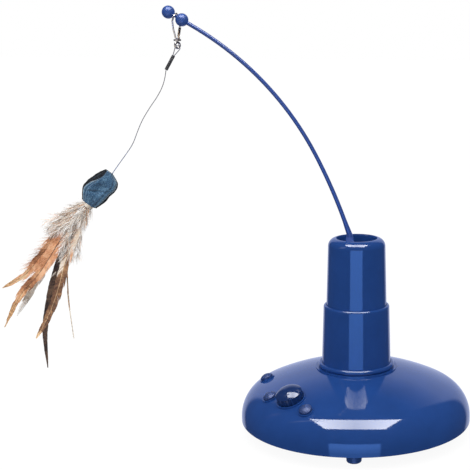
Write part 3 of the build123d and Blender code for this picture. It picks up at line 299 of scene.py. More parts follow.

# Solids whose material differs from the rest of their slot. The rod, the knob and the buttons also
# differ in finish; the hook's far leg, the gate, the knob and the buttons carry painted shade, the
# ferrule painted sheen and the feet painted light
special_materials = {
    "snap_hook": hook_metal("hook_steel"),
    "hook_gate": metal("shaded_gate_steel", SHADED_GATE_STEEL, 0.25, 0.4),
    # The knob is a darker copy of the body's blue: painted shade
    "selector_knob": gloss_plastic("shaded_knob_blue", (22, 46, 94), 0.1, 0.14),
    "wand_rod": gloss_plastic("rod_blue", (42, 72, 144), 0.25, 0.3),
    # The ferrule is a paler, more lilac copy of the wand's blue: painted sheen
    "wand_ferrule": gloss_plastic("ferrule_blue_sheen", (66, 94, 168), 0.25, 0.3),
}
# The buttons are a darker copy of the body's blue: painted shade
shaded_button_blue = gloss_plastic("shaded_button_blue", (24, 52, 106), 0.42, 0.5)
for place in ("right", "left", "back"):
    special_materials["button_" + place] = shaded_button_blue
# The feet are a paler copy of the body's blue: painted light
lit_foot_blue = gloss_plastic("lit_foot_blue", (58, 100, 178), 0.2, 0.28)
for place in ("front", "right", "back", "left"):
    special_materials["foot_" + place] = lit_foot_blue

for part in frame["record"]["subparts"]:
    node = nodes[part["node"]]
    mat = special_materials.get(part["node"], slot_materials[part["material_slot"]])
    node.data.materials.clear()
    node.data.materials.append(mat)

# Materials that only the lure's pieces have
# A paler copy of felt_blue for the leaves' rolled rims and the loose fibres: painted sheen
lit_felt = felt("lit_felt", (36, 62, 88), (78, 114, 140), (136, 166, 184))
vane_gold = barbs("vane_gold", (140, 98, 60), (216, 168, 118), (246, 214, 170))
vane_rust = barbs("vane_rust", (112, 68, 42), (188, 126, 84), (234, 180, 134))
vane_smoke = barbs("vane_smoke", (176, 162, 146), (218, 208, 194), (242, 236, 226))
vane_dark = barbs("vane_dark", (38, 28, 22), (66, 48, 36), (110, 84, 62))
shaft_pale = barbs("shaft_pale", (196, 156, 112), (228, 196, 152), (244, 226, 196))
shaft_dark = barbs("shaft_dark", (50, 36, 28), (80, 60, 46), (120, 94, 72))
down_white = barbs("down_white", (236, 230, 222), (248, 245, 240), (253, 252, 250), 0.4)
down_brown = barbs("down_brown", (84, 62, 46), (124, 96, 74), (172, 144, 118), 0.3)
down_amber = barbs("down_amber", (206, 144, 100), (236, 184, 140), (248, 214, 182), 0.3)


# Mesh helpers
def mesh_object(name, verts, faces, materials, indices=None):
    mesh = bpy.data.meshes.new(name)
    mesh.from_pydata([tuple(v) for v in verts], [], faces)
    for mat in materials:
        mesh.materials.append(mat)
    if indices is not None:
        mesh.polygons.foreach_set("material_index", indices)
    mesh.polygons.foreach_set("use_smooth", [True] * len(mesh.polygons))
    mesh.validate()
    mesh.update()
    obj = bpy.data.objects.new(name, mesh)
    bpy.context.scene.collection.objects.link(obj)
    return obj


def smooth_line(points, count):
    """Points along a smooth curve through the given ones."""
    pts = [Vector(p) for p in points]
    pts = [pts[0] * 2 - pts[1]] + pts + [pts[-1] * 2 - pts[-2]]
    spans = len(pts) - 3
    line = []
    for i in range(count):
        place = i / (count - 1) * spans
        k = min(int(place), spans - 1)
        t = place - k
        a, b, c, d = pts[k : k + 4]
        square = (2 * a - 5 * b + 4 * c - d) * t**2
        cube = (3 * b - a - 3 * c + d) * t**3
        line.append(0.5 * ((2 * b) + (c - a) * t + square + cube))
    return line


def line_length(line):
    return sum((b - a).length for a, b in zip(line, line[1:]))


def along(line, share):
    """The point at a share of a line, and the line's direction there."""
    place = max(0.0, min(0.9999, share)) * (len(line) - 1)
    k = int(place)
    t = place - k
    return line[k].lerp(line[k + 1], t), (line[k + 1] - line[k]).normalized()


def table_value(shares, values, place):
    """A smooth value between the table's entries."""
    n = len(shares)
    for k in range(n - 1):
        if place <= shares[k + 1] or k == n - 2:
            break
    t = (place - shares[k]) / (shares[k + 1] - shares[k])

    def slope(i):
        if i == 0 or i == n - 1:
            j = min(i, n - 2)
            return (values[j + 1] - values[j]) / (shares[j + 1] - shares[j])
        return (values[i + 1] - values[i - 1]) / (shares[i + 1] - shares[i - 1])

    h = shares[k + 1] - shares[k]
    start = (2 * t**3 - 3 * t**2 + 1) * values[k] + (t**3 - 2 * t**2 + t) * slope(k) * h
    end = (-2 * t**3 + 3 * t**2) * values[k + 1] + (t**3 - t**2) * slope(k + 1) * h
    return start + end


def grid_faces(rows, columns, start=0, flip=False):
    """The quads of a grid of points whose first one has the index start."""
    width = columns + 1
    for i in range(rows):
        for j in range(columns):
            a = start + i * width + j
            quad = (a, a + 1, a + 1 + width, a + width)
            yield quad[::-1] if flip else quad


class Strips:
    """Collects thin tapered ribbons and tubes into one mesh."""

    def __init__(self):
        self.verts = []
        self.faces = []
        self.indices = []

    def ribbon(self, line, widths, side, index):
        base = len(self.verts)
        for point, width in zip(line, widths):
            self.verts.append(point - side * width / 2)
            self.verts.append(point + side * width / 2)
        for i in range(len(line) - 1):
            a = base + 2 * i
            self.faces.append((a, a + 1, a + 3, a + 2))
            self.indices.append(index)

    def tube(self, line, radii, index, sides=6):
        base = len(self.verts)
        for i, (point, radius) in enumerate(zip(line, radii)):
            after = line[min(i + 1, len(line) - 1)]
            before = line[max(i - 1, 0)]
            run = (after - before).normalized()
            across = run.cross(Vector((0.1, 1.0, 0.15))).normalized()
            other = run.cross(across)
            for k in range(sides):
                turn = 2 * math.pi * k / sides
                self.verts.append(point + (across * math.cos(turn) + other * math.sin(turn)) * radius)
        for i in range(len(line) - 1):
            for k in range(sides):
                a = base + i * sides + k
                b = base + i * sides + (k + 1) % sides
                self.faces.append((a, b, b + sides, a + sides))
                self.indices.append(index)

    def build(self, name, materials):
        return mesh_object(name, self.verts, self.faces, materials, self.indices)


# Feathers. Their widths and paths are in millimetres
SHAFT_POINTS = 90
BARB_STEPS = (0.0, 0.2, 0.4, 0.6, 0.8, 1.0)
BARB_TAPER = (0.9, 1, 0.95, 0.85, 0.6, 0.2)
BARB_WIDTH = 0.52
SHORTEST_BARB = 0.45
LOOSE_STEPS = (0.0, 0.25, 0.5, 0.75, 1.0)
LOOSE_TAPER = (1, 1, 1, 0.7, 0.2)
QUILL_MOUTH = (-262.9, 0.0, 228.0)


def side_ways(run):
    """Directions across the vane and out of its face, for a shaft that runs along run."""
    plane = run.cross(Vector((0, 1, 0))).normalized()
    return plane, plane.cross(run).normalized()


def flow(line, length, share, ahead):
    """The point on the shaft a distance ahead of a share of it, and past its tip."""
    place = share + ahead / length
    point, run = along(line, place)
    return point + run * max(0.0, place - 1.0) * length, run


def from_mouth(path):
    """The path from where the quills are gathered."""
    x, y, z = QUILL_MOUTH
    return [(x, y + path[0][1] * 0.6, z), *path]


def vane_half(strips, rng, line, side, reach, root, fray, count, tail, tones):
    """The barbs on one side of a shaft. They go in clumps that lean, fray and tint alike."""
    length = line_length(line)
    clump_end = 0
    for i in range(count):
        if i >= clump_end:
            clump_end = i + rng.randint(7, 24)
            short = 1 - fray * rng.random() ** 2
            pull = rng.uniform(-1, 1)
            shift = rng.uniform(-0.14, 0.14)
        share = root + (0.99 - root) * (i + 0.5 * rng.random()) / count
        t = (share - root) / (1 - root)
        swell = min(1.0, (t + 0.02) / 0.2) ** 0.7 * (1 - t**tail) ** 0.8
        span = max(SHORTEST_BARB, reach * swell * short * rng.uniform(0.93, 1.03)) * MM
        tilt = math.radians(29 - 13 * t + 2.5 * pull)
        ahead = min(span / math.tan(tilt), length * (1.02 - share) + 2 * MM)
        lift = rng.uniform(-0.25, 0.25) * MM - 0.12 * span
        strand = []
        for step in BARB_STEPS:
            middle, run = flow(line, length, share, ahead * step)
            plane, flat = side_ways(run)
            away = plane * side * span * (1 - (1 - step) ** 1.6)
            strand.append(middle - away + flat * lift * step * step)
        width = BARB_WIDTH * MM * rng.uniform(0.8, 1.15)
        edge = (plane + flat * rng.uniform(-0.16, 0.16)).normalized()
        tone = min(0.999, max(0.0, t + shift + rng.uniform(-0.06, 0.06)))
        strips.ribbon(strand, [width * w for w in BARB_TAPER], edge, 1 + int(tone * tones))


def loose_barbs(strips, rng, line, reach, root, count, tones):
    """Fine barbs that stand off one side of the vane."""
    for _ in range(count):
        share = rng.uniform(root * 0.6, 0.72)
        start, run = along(line, share)
        plane, flat = side_ways(run)
        out = run * rng.uniform(0.5, 1.2) - plane * rng.uniform(0.5, 1.0) + flat * rng.gauss(0, 0.3)
        out.normalize()
        span = (reach + rng.uniform(2.0, 6.5)) * MM * 1.25 * (1.1 - share * 0.6)
        bend = (run * rng.uniform(0.0, 0.7) + plane * rng.gauss(0, 0.25)) * span
        strand = [start + out * span * step + bend * step * step for step in LOOSE_STEPS]
        edge = out.cross(flat).normalized()
        width = rng.uniform(0.14, 0.26) * MM
        strips.ribbon(strand, [width * w for w in LOOSE_TAPER], edge, 1 + rng.randrange(tones))


def feather(
    name, path, left, right, root, seed, materials, shaft, fray, count, tail=2.4, loose=0, solid=True
):
    """A shaft with barbs on both sides, in place of the solid of its name if there is one.
    left and right are the widest half widths, root is where along the shaft the vane starts,
    and tail is how long it stays wide. The materials are the shaft's, then the vane's from
    root to tip."""
    rng = random.Random(seed)
    line = smooth_line([Vector(p) * MM for p in from_mouth(path)], SHAFT_POINTS)
    last = SHAFT_POINTS - 1
    tones = len(materials) - 1
    strips = Strips()
    strips.tube(line, [shaft * MM * (1 - 0.85 * i / last) for i in range(SHAFT_POINTS)], 0)
    for side, reach in ((1, left), (-1, right)):
        vane_half(strips, rng, line, side, reach, root, fray, count, tail, tones)
    loose_barbs(strips, rng, line, left, root, loose, tones)
    obj = strips.build(name + "_vane", materials)
    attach(obj, "lure")
    if solid:
        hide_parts(name)


def feathers():
    feather(
        "feather_rust",
        [
            (-274.0, 1.9, 217.5),
            (-287.0, 3.4, 206.0),
            (-312.5, 6.4, 177.0),
            (-331.0, 9.2, 155.5),
            (-355.4, 11.5, 140.6),
        ],
        left=7.2,
        right=8.0,
        root=0.16,
        seed=11,
        materials=[shaft_dark, vane_amber, vane_rust, vane_amber, vane_gold],
        shaft=0.5,
        fray=0.4,
        count=280,
        tail=1.35,
        loose=340,
    )
    feather(
        "feather_amber",
        [
            (-276.5, -1.9, 211.5),
            (-291.0, -3.0, 193.5),
            (-312.0, -4.6, 161.4),
            (-332.5, -6.0, 137.3),
            (-349.6, -7.4, 104.6),
        ],
        left=7.8,
        right=7.4,
        root=0.2,
        seed=12,
        materials=[shaft_dark, vane_amber, vane_amber, vane_rust, vane_gold],
        shaft=0.5,
        fray=0.36,
        count=320,
        tail=1.35,
        loose=90,
    )
    feather(
        "feather_smoke",
        [(-288.0, 3.1, 189.0), (-312.6, 5.0, 157.5), (-327.6, 7.4, 134.8), (-341.6, 8.6, 112.4)],
        left=4.4,
        right=4.0,
        root=0.32,
        seed=13,
        materials=[shaft_pale, down_cream, vane_smoke, down_white],
        shaft=0.3,
        fray=0.5,
        count=150,
    )
    feather(
        "feather_dark",
        [
            (-279.0, 0.7, 200.4),
            (-291.5, 1.5, 176.9),
            (-303.8, 3.0, 142.0),
            (-312.6, 4.6, 100.4),
            (-312.0, 6.0, 58.4),
        ],
        left=4.0,
        right=4.4,
        root=0.24,
        seed=14,
        materials=[shaft_dark, vane_smoke, vane_dark, vane_dark, vane_dark],
        shaft=0.4,
        fray=0.12,
        count=320,
    )
    feather(
        "feather_brown",
        [
            (-274.6, -3.1, 200.0),
            (-286.6, -5.4, 172.4),
            (-294.8, -8.8, 142.8),
            (-304.8, -12.0, 117.0),
            (-316.4, -15.6, 96.0),
        ],
        left=4.6,
        right=5.6,
        root=0.26,
        seed=15,
        materials=[shaft_pale, down_cream, vane_brown, vane_brown, vane_brown, vane_gold],
        shaft=0.42,
        fray=0.2,
        count=300,
    )
    feather(
        "feather_thin",
        [
            (-278.0, -0.6, 195.0),
            (-286.0, -0.9, 169.8),
            (-286.6, -1.1, 148.0),
            (-285.6, -1.3, 123.9),
            (-282.4, -1.6, 91.8),
        ],
        left=1.0,
        right=1.0,
        root=0.3,
        seed=16,
        materials=[shaft_pale, vane_amber, vane_brown, vane_smoke],
        shaft=0.28,
        fray=0.4,
        count=150,
    )
    feather(
        "feather_small",
        [(-271.0, -3.6, 206.0), (-278.0, -5.0, 188.2), (-281.4, -6.0, 171.6)],
        left=2.6,
        right=2.6,
        root=0.3,
        seed=17,
        materials=[shaft_pale, down_cream, down_cream, vane_amber],
        shaft=0.25,
        fray=0.5,
        count=110,
        loose=60,
        solid=False,
    )


# Soft down, as plumes that fan out from the binding. Sizes are in millimetres. Fan shares go from
# the left edge to the right one, and start shares along the reach
WHITE, CREAM, BROWN, AMBER = range(4)
DOWN_MATERIALS = [down_white, down_cream, down_brown, down_amber]
DOWN_MOUTH = (-262.6, 0.0, 229.6)
DOWN_LEFT_EDGE = (-56.0, 0.0, -27.0)
DOWN_RIGHT_EDGE = (-15.0, 0.0, -57.0)
DOWN_FAN_SHARES = (0.0, 0.3, 0.5, 0.72, 1.0)
DOWN_REACHES = (72.0, 56.0, 36.0, 80.0, 72.0)
DOWN_START_SHARES = (-0.07, 0.0, 0.16, 0.32, 0.48)
DOWN_TAPER = (0.8, 1, 1, 0.8, 0.5, 0.12)
DOWN_GAP = 1.6
PLUME_BARBS = 40
QUILL_RADIUS = 0.16
QUILL_STEPS = 8


def plume(strips, rng, line, reach, tint):
    """One soft down feather: long fine wavy barbs that lean out from a short quill."""
    length = line_length(line)
    for _ in range(PLUME_BARBS):
        share = rng.random() ** 0.85 * 0.96
        start, run = along(line, share)
        plane, flat = side_ways(run)
        side = rng.choice((-1, 1))
        tilt = math.radians(rng.uniform(10, 36))
        out = run * math.cos(tilt) + plane * side * math.sin(tilt) + flat * rng.gauss(0, 0.3)
        out.normalize()
        span = reach * MM * rng.uniform(0.55, 1.15) * (1 - 0.45 * share**2)
        span = min(span, length * 0.8)
        wave = rng.uniform(-0.7, 0.7) * MM
        curl = (run - out) * rng.uniform(0.0, 0.5)
        cross = out.cross(flat).normalized()
        strand = []
        for step in BARB_STEPS:
            point = start + out * span * step + curl * span * step * step
            strand.append(point + cross * wave * math.sin(step * math.pi * 1.6))
        width = rng.uniform(0.2, 0.4) * MM
        edge = (cross + flat * rng.gauss(0, 0.45)).normalized()
        pick = rng.random()
        index = tint if pick < 0.25 else (WHITE if pick < 0.8 else CREAM)
        strips.ribbon(strand, [width * w for w in DOWN_TAPER], edge, index)


def down(name, node_name, seed, face, count):
    """The plumes on one side of the quills: face is -1 in front of them and 1 behind."""
    rng = random.Random(seed)
    strips = Strips()
    mouth = Vector(DOWN_MOUTH) * MM
    left = Vector(DOWN_LEFT_EDGE).normalized()
    right = Vector(DOWN_RIGHT_EDGE).normalized()
    for i in range(count):
        fan = (i + rng.random()) / count
        heading = left.slerp(right, fan)
        total = table_value(DOWN_FAN_SHARES, DOWN_REACHES, fan) * MM
        begin = rng.choice(DOWN_START_SHARES) * total
        end = min(total * 0.88, begin + rng.uniform(18, 27) * MM)
        depth = face * (1.0 + abs(rng.gauss(0, 1.6))) * MM
        outward = heading.cross(Vector((0, 1, 0))) * (fan - 0.5) * rng.uniform(-3, 7) * MM
        line = []
        for k in range(QUILL_STEPS + 1):
            step = k / QUILL_STEPS
            place = begin + (end - begin) * step
            bow = outward * math.sin(step * 2.2)
            out = depth * (0.6 + place / total) + face * DOWN_GAP * MM
            line.append(mouth + heading * place + bow + Vector((0, out, 0)))
        radii = [QUILL_RADIUS * MM * (1 - 0.8 * k / QUILL_STEPS) for k in range(QUILL_STEPS + 1)]
        strips.tube(line, radii, CREAM, 4)
        plume(strips, rng, line, rng.uniform(11.0, 17.0), rng.choice((BROWN, BROWN, AMBER)))
    obj = strips.build(name, DOWN_MATERIALS)
    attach(obj, "lure")
    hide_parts(node_name)


# Felt bud. Its points go across it by u, from -1 to 1, and down it by v, from 0 to 1.
# Its sizes are in millimetres, and its crowns are shares of its half widths
BUD_TOP = Vector((-241.5, 0.0, 260.8))
BUD_LEAN = math.radians(35.0)
BUD_LENGTH = 38.0
BUD_SHARES = (0.0, 0.12, 0.32, 0.53, 0.74, 1.0)
BUD_HALVES = (3.8, 8.8, 12.0, 12.3, 11.9, 7.1)
BUD_SKEWS = (0.2, -3.1, -2.7, -0.7, -0.3, -1.3)
BUD_CROWN_SHARES = (0.5, 0.62, 0.66, 0.66, 0.62, 0.55)
LEAF_ROWS = 74
LEAF_COLUMNS = 60
LEAF_GAP = 0.85
LEAF_INNER_GAP = 0.82
LEAF_INNER_SHARE = 0.985
THINNEST_FELT = 0.12
ROUND_TOP_SHARE = 0.08
LIT_RIM_SHARE = 0.8
CAP_POWER = 2.4
LINING_ROWS = 60
LINING_COLUMNS = 12
LINING_HALF = 0.8
FUZZ_COUNT = 900
FUZZ_WIDTHS = (0.09, 0.08, 0.02)


def bud_point(across, depth, down_length):
    down_dir = Vector((-math.sin(BUD_LEAN), 0, -math.cos(BUD_LEAN)))
    across_dir = Vector((-math.cos(BUD_LEAN), 0, math.sin(BUD_LEAN)))
    point = BUD_TOP + down_dir * down_length + across_dir * across
    return Vector((point.x, depth, point.z)) * MM


def bud_outline(v):
    """The bud's half width and the place of its middle."""
    return table_value(BUD_SHARES, BUD_HALVES, v), table_value(BUD_SHARES, BUD_SKEWS, v)


def bud_crown(v):
    """How far a leaf stands out."""
    return table_value(BUD_SHARES, BUD_CROWN_SHARES, v) * table_value(BUD_SHARES, BUD_HALVES, v)


def bud_cap(u):
    """The round of a leaf's cross section, from 1 at its middle to 0 at its edges."""
    return math.sqrt(max(0.0, 1 - abs(u) ** CAP_POWER))


def bell(x, middle, width):
    """A smooth hump, 1 high at its middle."""
    return math.exp(-(((x - middle) / width) ** 2))


def wave_noise(x, y, seed):
    """A smooth value between about -1 and 1 that varies with x and y."""
    value = 0.0
    for octave, weight in ((1, 0.6), (2.3, 0.28), (5.1, 0.12)):
        turn = y * octave * 1.3 - seed * 1.7 + math.sin(x * octave)
        value += weight * math.sin(x * octave * 1.7 + seed) * math.cos(turn)
    return value


def leaf_inset(side, u, v):
    """How far the front leaf's edge stands back from the dark lining."""
    if side > 0:
        return 0.0
    upper = 4.6 * bell(v, 0.26, 0.26) * max(0.0, u) ** 3
    lower = 1.0 * bell(v, 0.72, 0.22) * max(0.0, -u) ** 2
    return upper - lower


def leaf_relief(side, u, v):
    """The rolled rim, the groove inside it, the dimple, the crease and the folds of a leaf."""
    reach = abs(u)
    rim = 0.55 * bell(reach, 0.86, 0.07)
    groove = -1.1 * bell(reach, 0.7, 0.07)
    if side < 0:
        dimple = -3.2 * bell(u, -0.1, 0.42) * bell(v, 0.44, 0.16)
        crease = -2.8 * bell(v - 0.18 * u, 0.6, 0.045) * (1 - reach)
    else:
        dimple = -1.2 * bell(u, 0.2, 0.5) * bell(v, 0.5, 0.2)
        crease = 0.0
    folds = math.sin(u * 11 + 1.2 * v) * 0.35 * max(0.0, (v - 0.62) / 0.38) * (1 - reach**3)
    return rim + groove + dimple + crease + folds


def leaf_point(side, u, v, seed):
    """A point of a leaf's outer face."""
    half, middle = bud_outline(v)
    crown = bud_crown(v)
    cap = bud_cap(u)
    top = 1.0 if v > ROUND_TOP_SHARE else math.sqrt(max(0.0, 1 - (1 - v / ROUND_TOP_SHARE) ** 2))
    lift = min(crown * cap * (0.35 + 0.65 * top), crown * 0.9)
    rough = wave_noise(u * 4, v * 7, seed) * 0.28
    lift += (leaf_relief(side, u, v) + rough) * min(1.0, cap * 2.0)
    wobble = wave_noise(v * 9, side * 2.0, seed) * 0.3 * abs(u)
    across = middle + u * half + wobble - leaf_inset(side, u, v)
    return bud_point(across, side * (LEAF_GAP + max(THINNEST_FELT, lift)), v * BUD_LENGTH)


def leaf_inner_point(side, u, v):
    """A point of a leaf's flat inner face."""
    half, middle = bud_outline(v)
    across = middle + u * half * LEAF_INNER_SHARE - leaf_inset(side, u, v)
    return bud_point(across, side * LEAF_INNER_GAP, v * BUD_LENGTH)


def bud_leaf(name, node_name, side, seed):
    """A cushioned felt leaf: side is -1 in front of the lining and 1 behind it."""
    rows, columns = LEAF_ROWS, LEAF_COLUMNS
    width = columns + 1
    grid = [(-1 + 2 * j / columns, i / rows) for i in range(rows + 1) for j in range(width)]
    verts = [leaf_point(side, u, v, seed) for u, v in grid]
    verts += [leaf_inner_point(side, u, v) for u, v in grid]
    inner = len(grid)
    face_mat, lit_rim_mat = 0, 1
    faces = list(grid_faces(rows, columns, flip=side < 0))
    row_reaches = [abs(-1 + 2 * (j + 0.5) / columns) for j in range(columns)]
    # Faces near the leaf's edges and its side faces take the paler felt: painted sheen on the rolled
    # rim
    indices = [lit_rim_mat if reach > LIT_RIM_SHARE else face_mat for reach in row_reaches] * rows
    faces += grid_faces(rows, columns, inner, flip=side > 0)
    indices += [face_mat] * (rows * columns)
    ring = list(range(width))
    ring += [i * width + columns for i in range(1, rows + 1)]
    ring += [rows * width + j for j in range(columns - 1, -1, -1)]
    ring += [i * width for i in range(rows - 1, 0, -1)]
    for a, b in zip(ring, ring[1:] + ring[:1]):
        quad = (a, b, inner + b, inner + a)
        faces.append(quad[::-1] if side > 0 else quad)
        indices.append(lit_rim_mat)
    obj = mesh_object(name, verts, faces, [felt_blue, lit_felt], indices)
    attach(obj, "lure")
    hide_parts(node_name)


def bud_lining():
    """The dark felt between the leaves, a ragged edge standing a little proud of them."""
    rows, columns = LINING_ROWS, LINING_COLUMNS
    width = columns + 1
    sheet = (rows + 1) * width
    verts = []
    for side in (-1, 1):
        for i in range(rows + 1):
            v = i / rows
            half, middle = bud_outline(v)
            ragged = 1.15 + 0.35 * wave_noise(v * 8, 1.0, 3.0)
            ends = min(1.0, 0.3 + v * 6)
            for j in range(width):
                u = -1 + 2 * j / columns
                thick = LINING_HALF * math.sqrt(max(0.0, 1 - abs(u) ** 8)) + 0.02
                grow = ragged * ends * (1.25 if u > 0 else 0.75)
                verts.append(bud_point(middle + u * (half + grow), side * thick, v * BUD_LENGTH))
    faces = list(grid_faces(rows, columns, flip=True))
    faces += grid_faces(rows, columns, sheet)
    for i in range(rows):
        for j in (0, columns):
            a = i * width + j
            quad = (a, a + width, sheet + a + width, sheet + a)
            faces.append(quad if j == 0 else quad[::-1])
    for i in (0, rows):
        for j in range(columns):
            a = i * width + j
            quad = (a, a + 1, sheet + a + 1, sheet + a)
            faces.append(quad[::-1] if i == 0 else quad)
    obj = mesh_object("bud_lining_felt", verts, faces, [felt_black])
    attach(obj, "lure")
    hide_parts("bud_lining")


def bud_fuzz():
    """Short loose fibres that stand off the felt."""
    rng = random.Random(9)
    strips = Strips()
    for _ in range(FUZZ_COUNT):
        v = rng.random()
        half, middle = bud_outline(v)
        side = rng.choice((-1, 1))
        u = rng.uniform(-1, 1)
        u = math.copysign(abs(u) ** 0.4, u)
        lift = bud_crown(v) * 0.9 * bud_cap(u)
        start = bud_point(middle + u * half * 0.99, side * (0.7 + lift * 0.8), v * BUD_LENGTH)
        out = bud_point(middle + u * (half + 2), side * (1.7 + lift * 1.2), v * BUD_LENGTH) - start
        out = (out.normalized() + Vector([rng.gauss(0, 0.6) for _ in range(3)])).normalized()
        length = rng.uniform(0.5, 1.3) * MM
        bend = Vector([rng.gauss(0, 0.4) for _ in range(3)])
        strand = [start + out * length * s + bend * length * s * s for s in (0, 0.5, 1)]
        edge = out.cross(Vector((0.3, 0.9, 0.2))).normalized()
        strips.ribbon(strand, [width * MM for width in FUZZ_WIDTHS], edge, 0)
    # The fibres take the paler felt: painted sheen
    obj = strips.build("bud_fuzz", [lit_felt])
    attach(obj, "lure")


# Leader wire: its route from the sleeve to the bud in millimetres, its thickness in metres
LEADER_ROUTE = (
    (-183.621, 0.0, 359.827),
    (-184.992, 0.0, 349.453),
    (-190.992, 0.0, 336.453),
    (-199.892, 0.0, 324.153),
    (-207.992, 0.0, 311.453),
    (-213.192, 0.0, 299.453),
    (-217.592, 0.0, 287.953),
    (-225.192, 0.0, 277.353),
    (-232.392, 0.0, 267.753),
    (-238.742, 0.0, 258.903),
)
LEADER_DIAMETER = 0.0008


def leader():
    """The stiff wire that the bud hangs on."""
    curve = bpy.data.curves.new("leader_line", "CURVE")
    curve.dimensions = "3D"
    spline = curve.splines.new("NURBS")
    spline.points.add(len(LEADER_ROUTE) - 1)
    for point, place in zip(spline.points, LEADER_ROUTE):
        point.co = (place[0] * MM, place[1] * MM, place[2] * MM, 1.0)
    spline.order_u = 3
    spline.use_endpoint_u = True
    curve.resolution_u = 10
    curve.bevel_depth = LEADER_DIAMETER / 2
    curve.bevel_resolution = 3
    curve.use_fill_caps = True
    curve.materials.append(wire_grey)
    obj = bpy.data.objects.new("leader_line", curve)
    bpy.context.scene.collection.objects.link(obj)
    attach(obj, "lure")
    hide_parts("leader_wire")


leader()
bud_leaf("bud_front_felt", "bud_front", side=-1, seed=1.3)
bud_leaf("bud_back_felt", "bud_back", side=1, seed=4.1)
bud_lining()
bud_fuzz()
feathers()
down("down_front", "down_right", seed=21, face=-1, count=46)
down("down_rear", "down_left", seed=22, face=1, count=40)


# Studio. Places and sizes in metres
ROOM_GLOW = 0.1
ROOM_TINT = (0.66, 0.72, 1.0)
FLOOR_HALF = 7.0
FLOOR_TONE = 0.32
FLOOR_GLOW = 0.93
FLOOR_SHADE = 0.09


def scaled(tree, vector, factor):
    """A colour times a factor."""
    node = tree.nodes.new("ShaderNodeVectorMath")
    node.operation = "MULTIPLY"
    node.inputs[0].default_value = vector
    tree.links.new(factor, node.inputs[1])
    return node.outputs["Vector"]


def room_glow(tree, x, y, z):
    """What glossy surfaces see: a dim room, lit behind the object and by a card low in front."""
    turn = math_node(tree, "ABSOLUTE", math_node(tree, "ARCTAN2", x, times(tree, y, -1.0)))
    rear = spread(tree, turn, 0.0, 0.95, start=math.radians(140), end=math.radians(147))
    rear = times(tree, rear, spread(tree, z, 1.0, 0.0, start=0.5, end=0.85))
    card = spread(tree, turn, 1.1, 0.0, start=math.radians(22.5), end=math.radians(24.5))
    card = times(tree, card, spread(tree, z, 1.0, 0.0, start=0.1, end=0.14))
    return math_node(tree, "MAXIMUM", math_node(tree, "MAXIMUM", rear, ROOM_GLOW), card)


def world_light():
    """White to the camera, brighter overhead to matte surfaces, a room to glossy ones."""
    world = bpy.data.worlds.new("studio")
    bpy.context.scene.world = world
    world.use_nodes = True
    tree = world.node_tree
    tree.nodes.clear()
    out = tree.nodes.new("ShaderNodeOutputWorld")
    back = tree.nodes.new("ShaderNodeBackground")
    tree.links.new(back.outputs["Background"], out.inputs["Surface"])
    place = axes(tree, tree.nodes.new("ShaderNodeTexCoord").outputs["Generated"])
    room = scaled(tree, ROOM_TINT, room_glow(tree, place["X"], place["Y"], place["Z"]))
    path = tree.nodes.new("ShaderNodeLightPath")
    sky = math_node(tree, "MAXIMUM", spread(tree, place["Z"], 0.44, 1.3), path.outputs["Is Camera Ray"])
    sky = scaled(tree, (1.0, 1.0, 1.0), sky)
    pick = tree.nodes.new("ShaderNodeMix")
    pick.data_type = "VECTOR"
    tree.links.new(path.outputs["Is Glossy Ray"], pick.inputs[0])
    tree.links.new(sky, pick.inputs[4])
    tree.links.new(room, pick.inputs[5])
    tree.links.new(pick.outputs[1], back.inputs["Color"])


def level_card(name, half_x, half_y):
    """A flat rectangle round its own origin."""
    corners = [(-half_x, -half_y, 0), (half_x, -half_y, 0), (half_x, half_y, 0), (-half_x, half_y, 0)]
    return mesh_object(name, corners, [(0, 1, 2, 3)], [])


def diffuse(tree, tone):
    node = tree.nodes.new("ShaderNodeBsdfDiffuse")
    node.inputs["Color"].default_value = (tone, tone, tone, 1)
    return node.outputs[0]


def floor():
    """A floor that is white to the camera, with a faint shadow, and grey to everything else."""
    obj = level_card("floor", FLOOR_HALF, FLOOR_HALF)
    mat = bpy.data.materials.new("floor_white")
    mat.use_nodes = True
    tree = mat.node_tree
    tree.nodes.clear()
    out = tree.nodes.new("ShaderNodeOutputMaterial")
    mix = tree.nodes.new("ShaderNodeMixShader")
    add = tree.nodes.new("ShaderNodeAddShader")
    glow = tree.nodes.new("ShaderNodeEmission")
    glow.inputs["Strength"].default_value = FLOOR_GLOW
    tree.links.new(glow.outputs[0], add.inputs[0])
    tree.links.new(diffuse(tree, FLOOR_SHADE), add.inputs[1])
    path = tree.nodes.new("ShaderNodeLightPath")
    tree.links.new(path.outputs["Is Camera Ray"], mix.inputs[0])
    tree.links.new(diffuse(tree, FLOOR_TONE), mix.inputs[1])
    tree.links.new(add.outputs[0], mix.inputs[2])
    tree.links.new(mix.outputs[0], out.inputs["Surface"])
    obj.data.materials.append(mat)
    obj.visible_glossy = False


def reflected_only(obj):
    """Hides an object from all but reflections."""
    obj.visible_camera = False
    obj.visible_diffuse = False
    obj.visible_shadow = False
    obj.visible_transmission = False


def glow_material(name, colour):
    """A material that shines, its tree, the input for its strength and the place on the object."""
    mat = bpy.data.materials.new(name)
    mat.use_nodes = True
    tree = mat.node_tree
    tree.nodes.clear()
    out = tree.nodes.new("ShaderNodeOutputMaterial")
    glow = tree.nodes.new("ShaderNodeEmission")
    glow.inputs["Color"].default_value = (*colour, 1)
    tree.links.new(glow.outputs[0], out.inputs["Surface"])
    return mat, tree, glow.inputs["Strength"], axes(tree, coords(tree))


def soft_box(name, centre, size_x, size_y, strength):
    """A soft box overhead that only reflections see, a little dimmer at its middle."""
    obj = level_card(name, size_x / 2, size_y / 2)
    obj.location = centre
    mat, tree, brightness, place = glow_material(name, (0.95, 0.96, 1.0))
    away = math_node(tree, "ABSOLUTE", place["X"])
    level = spread(tree, away, strength * 0.72, strength * 1.15, start=0.0, end=size_x / 2)
    tree.links.new(level, brightness)
    obj.data.materials.append(mat)
    reflected_only(obj)


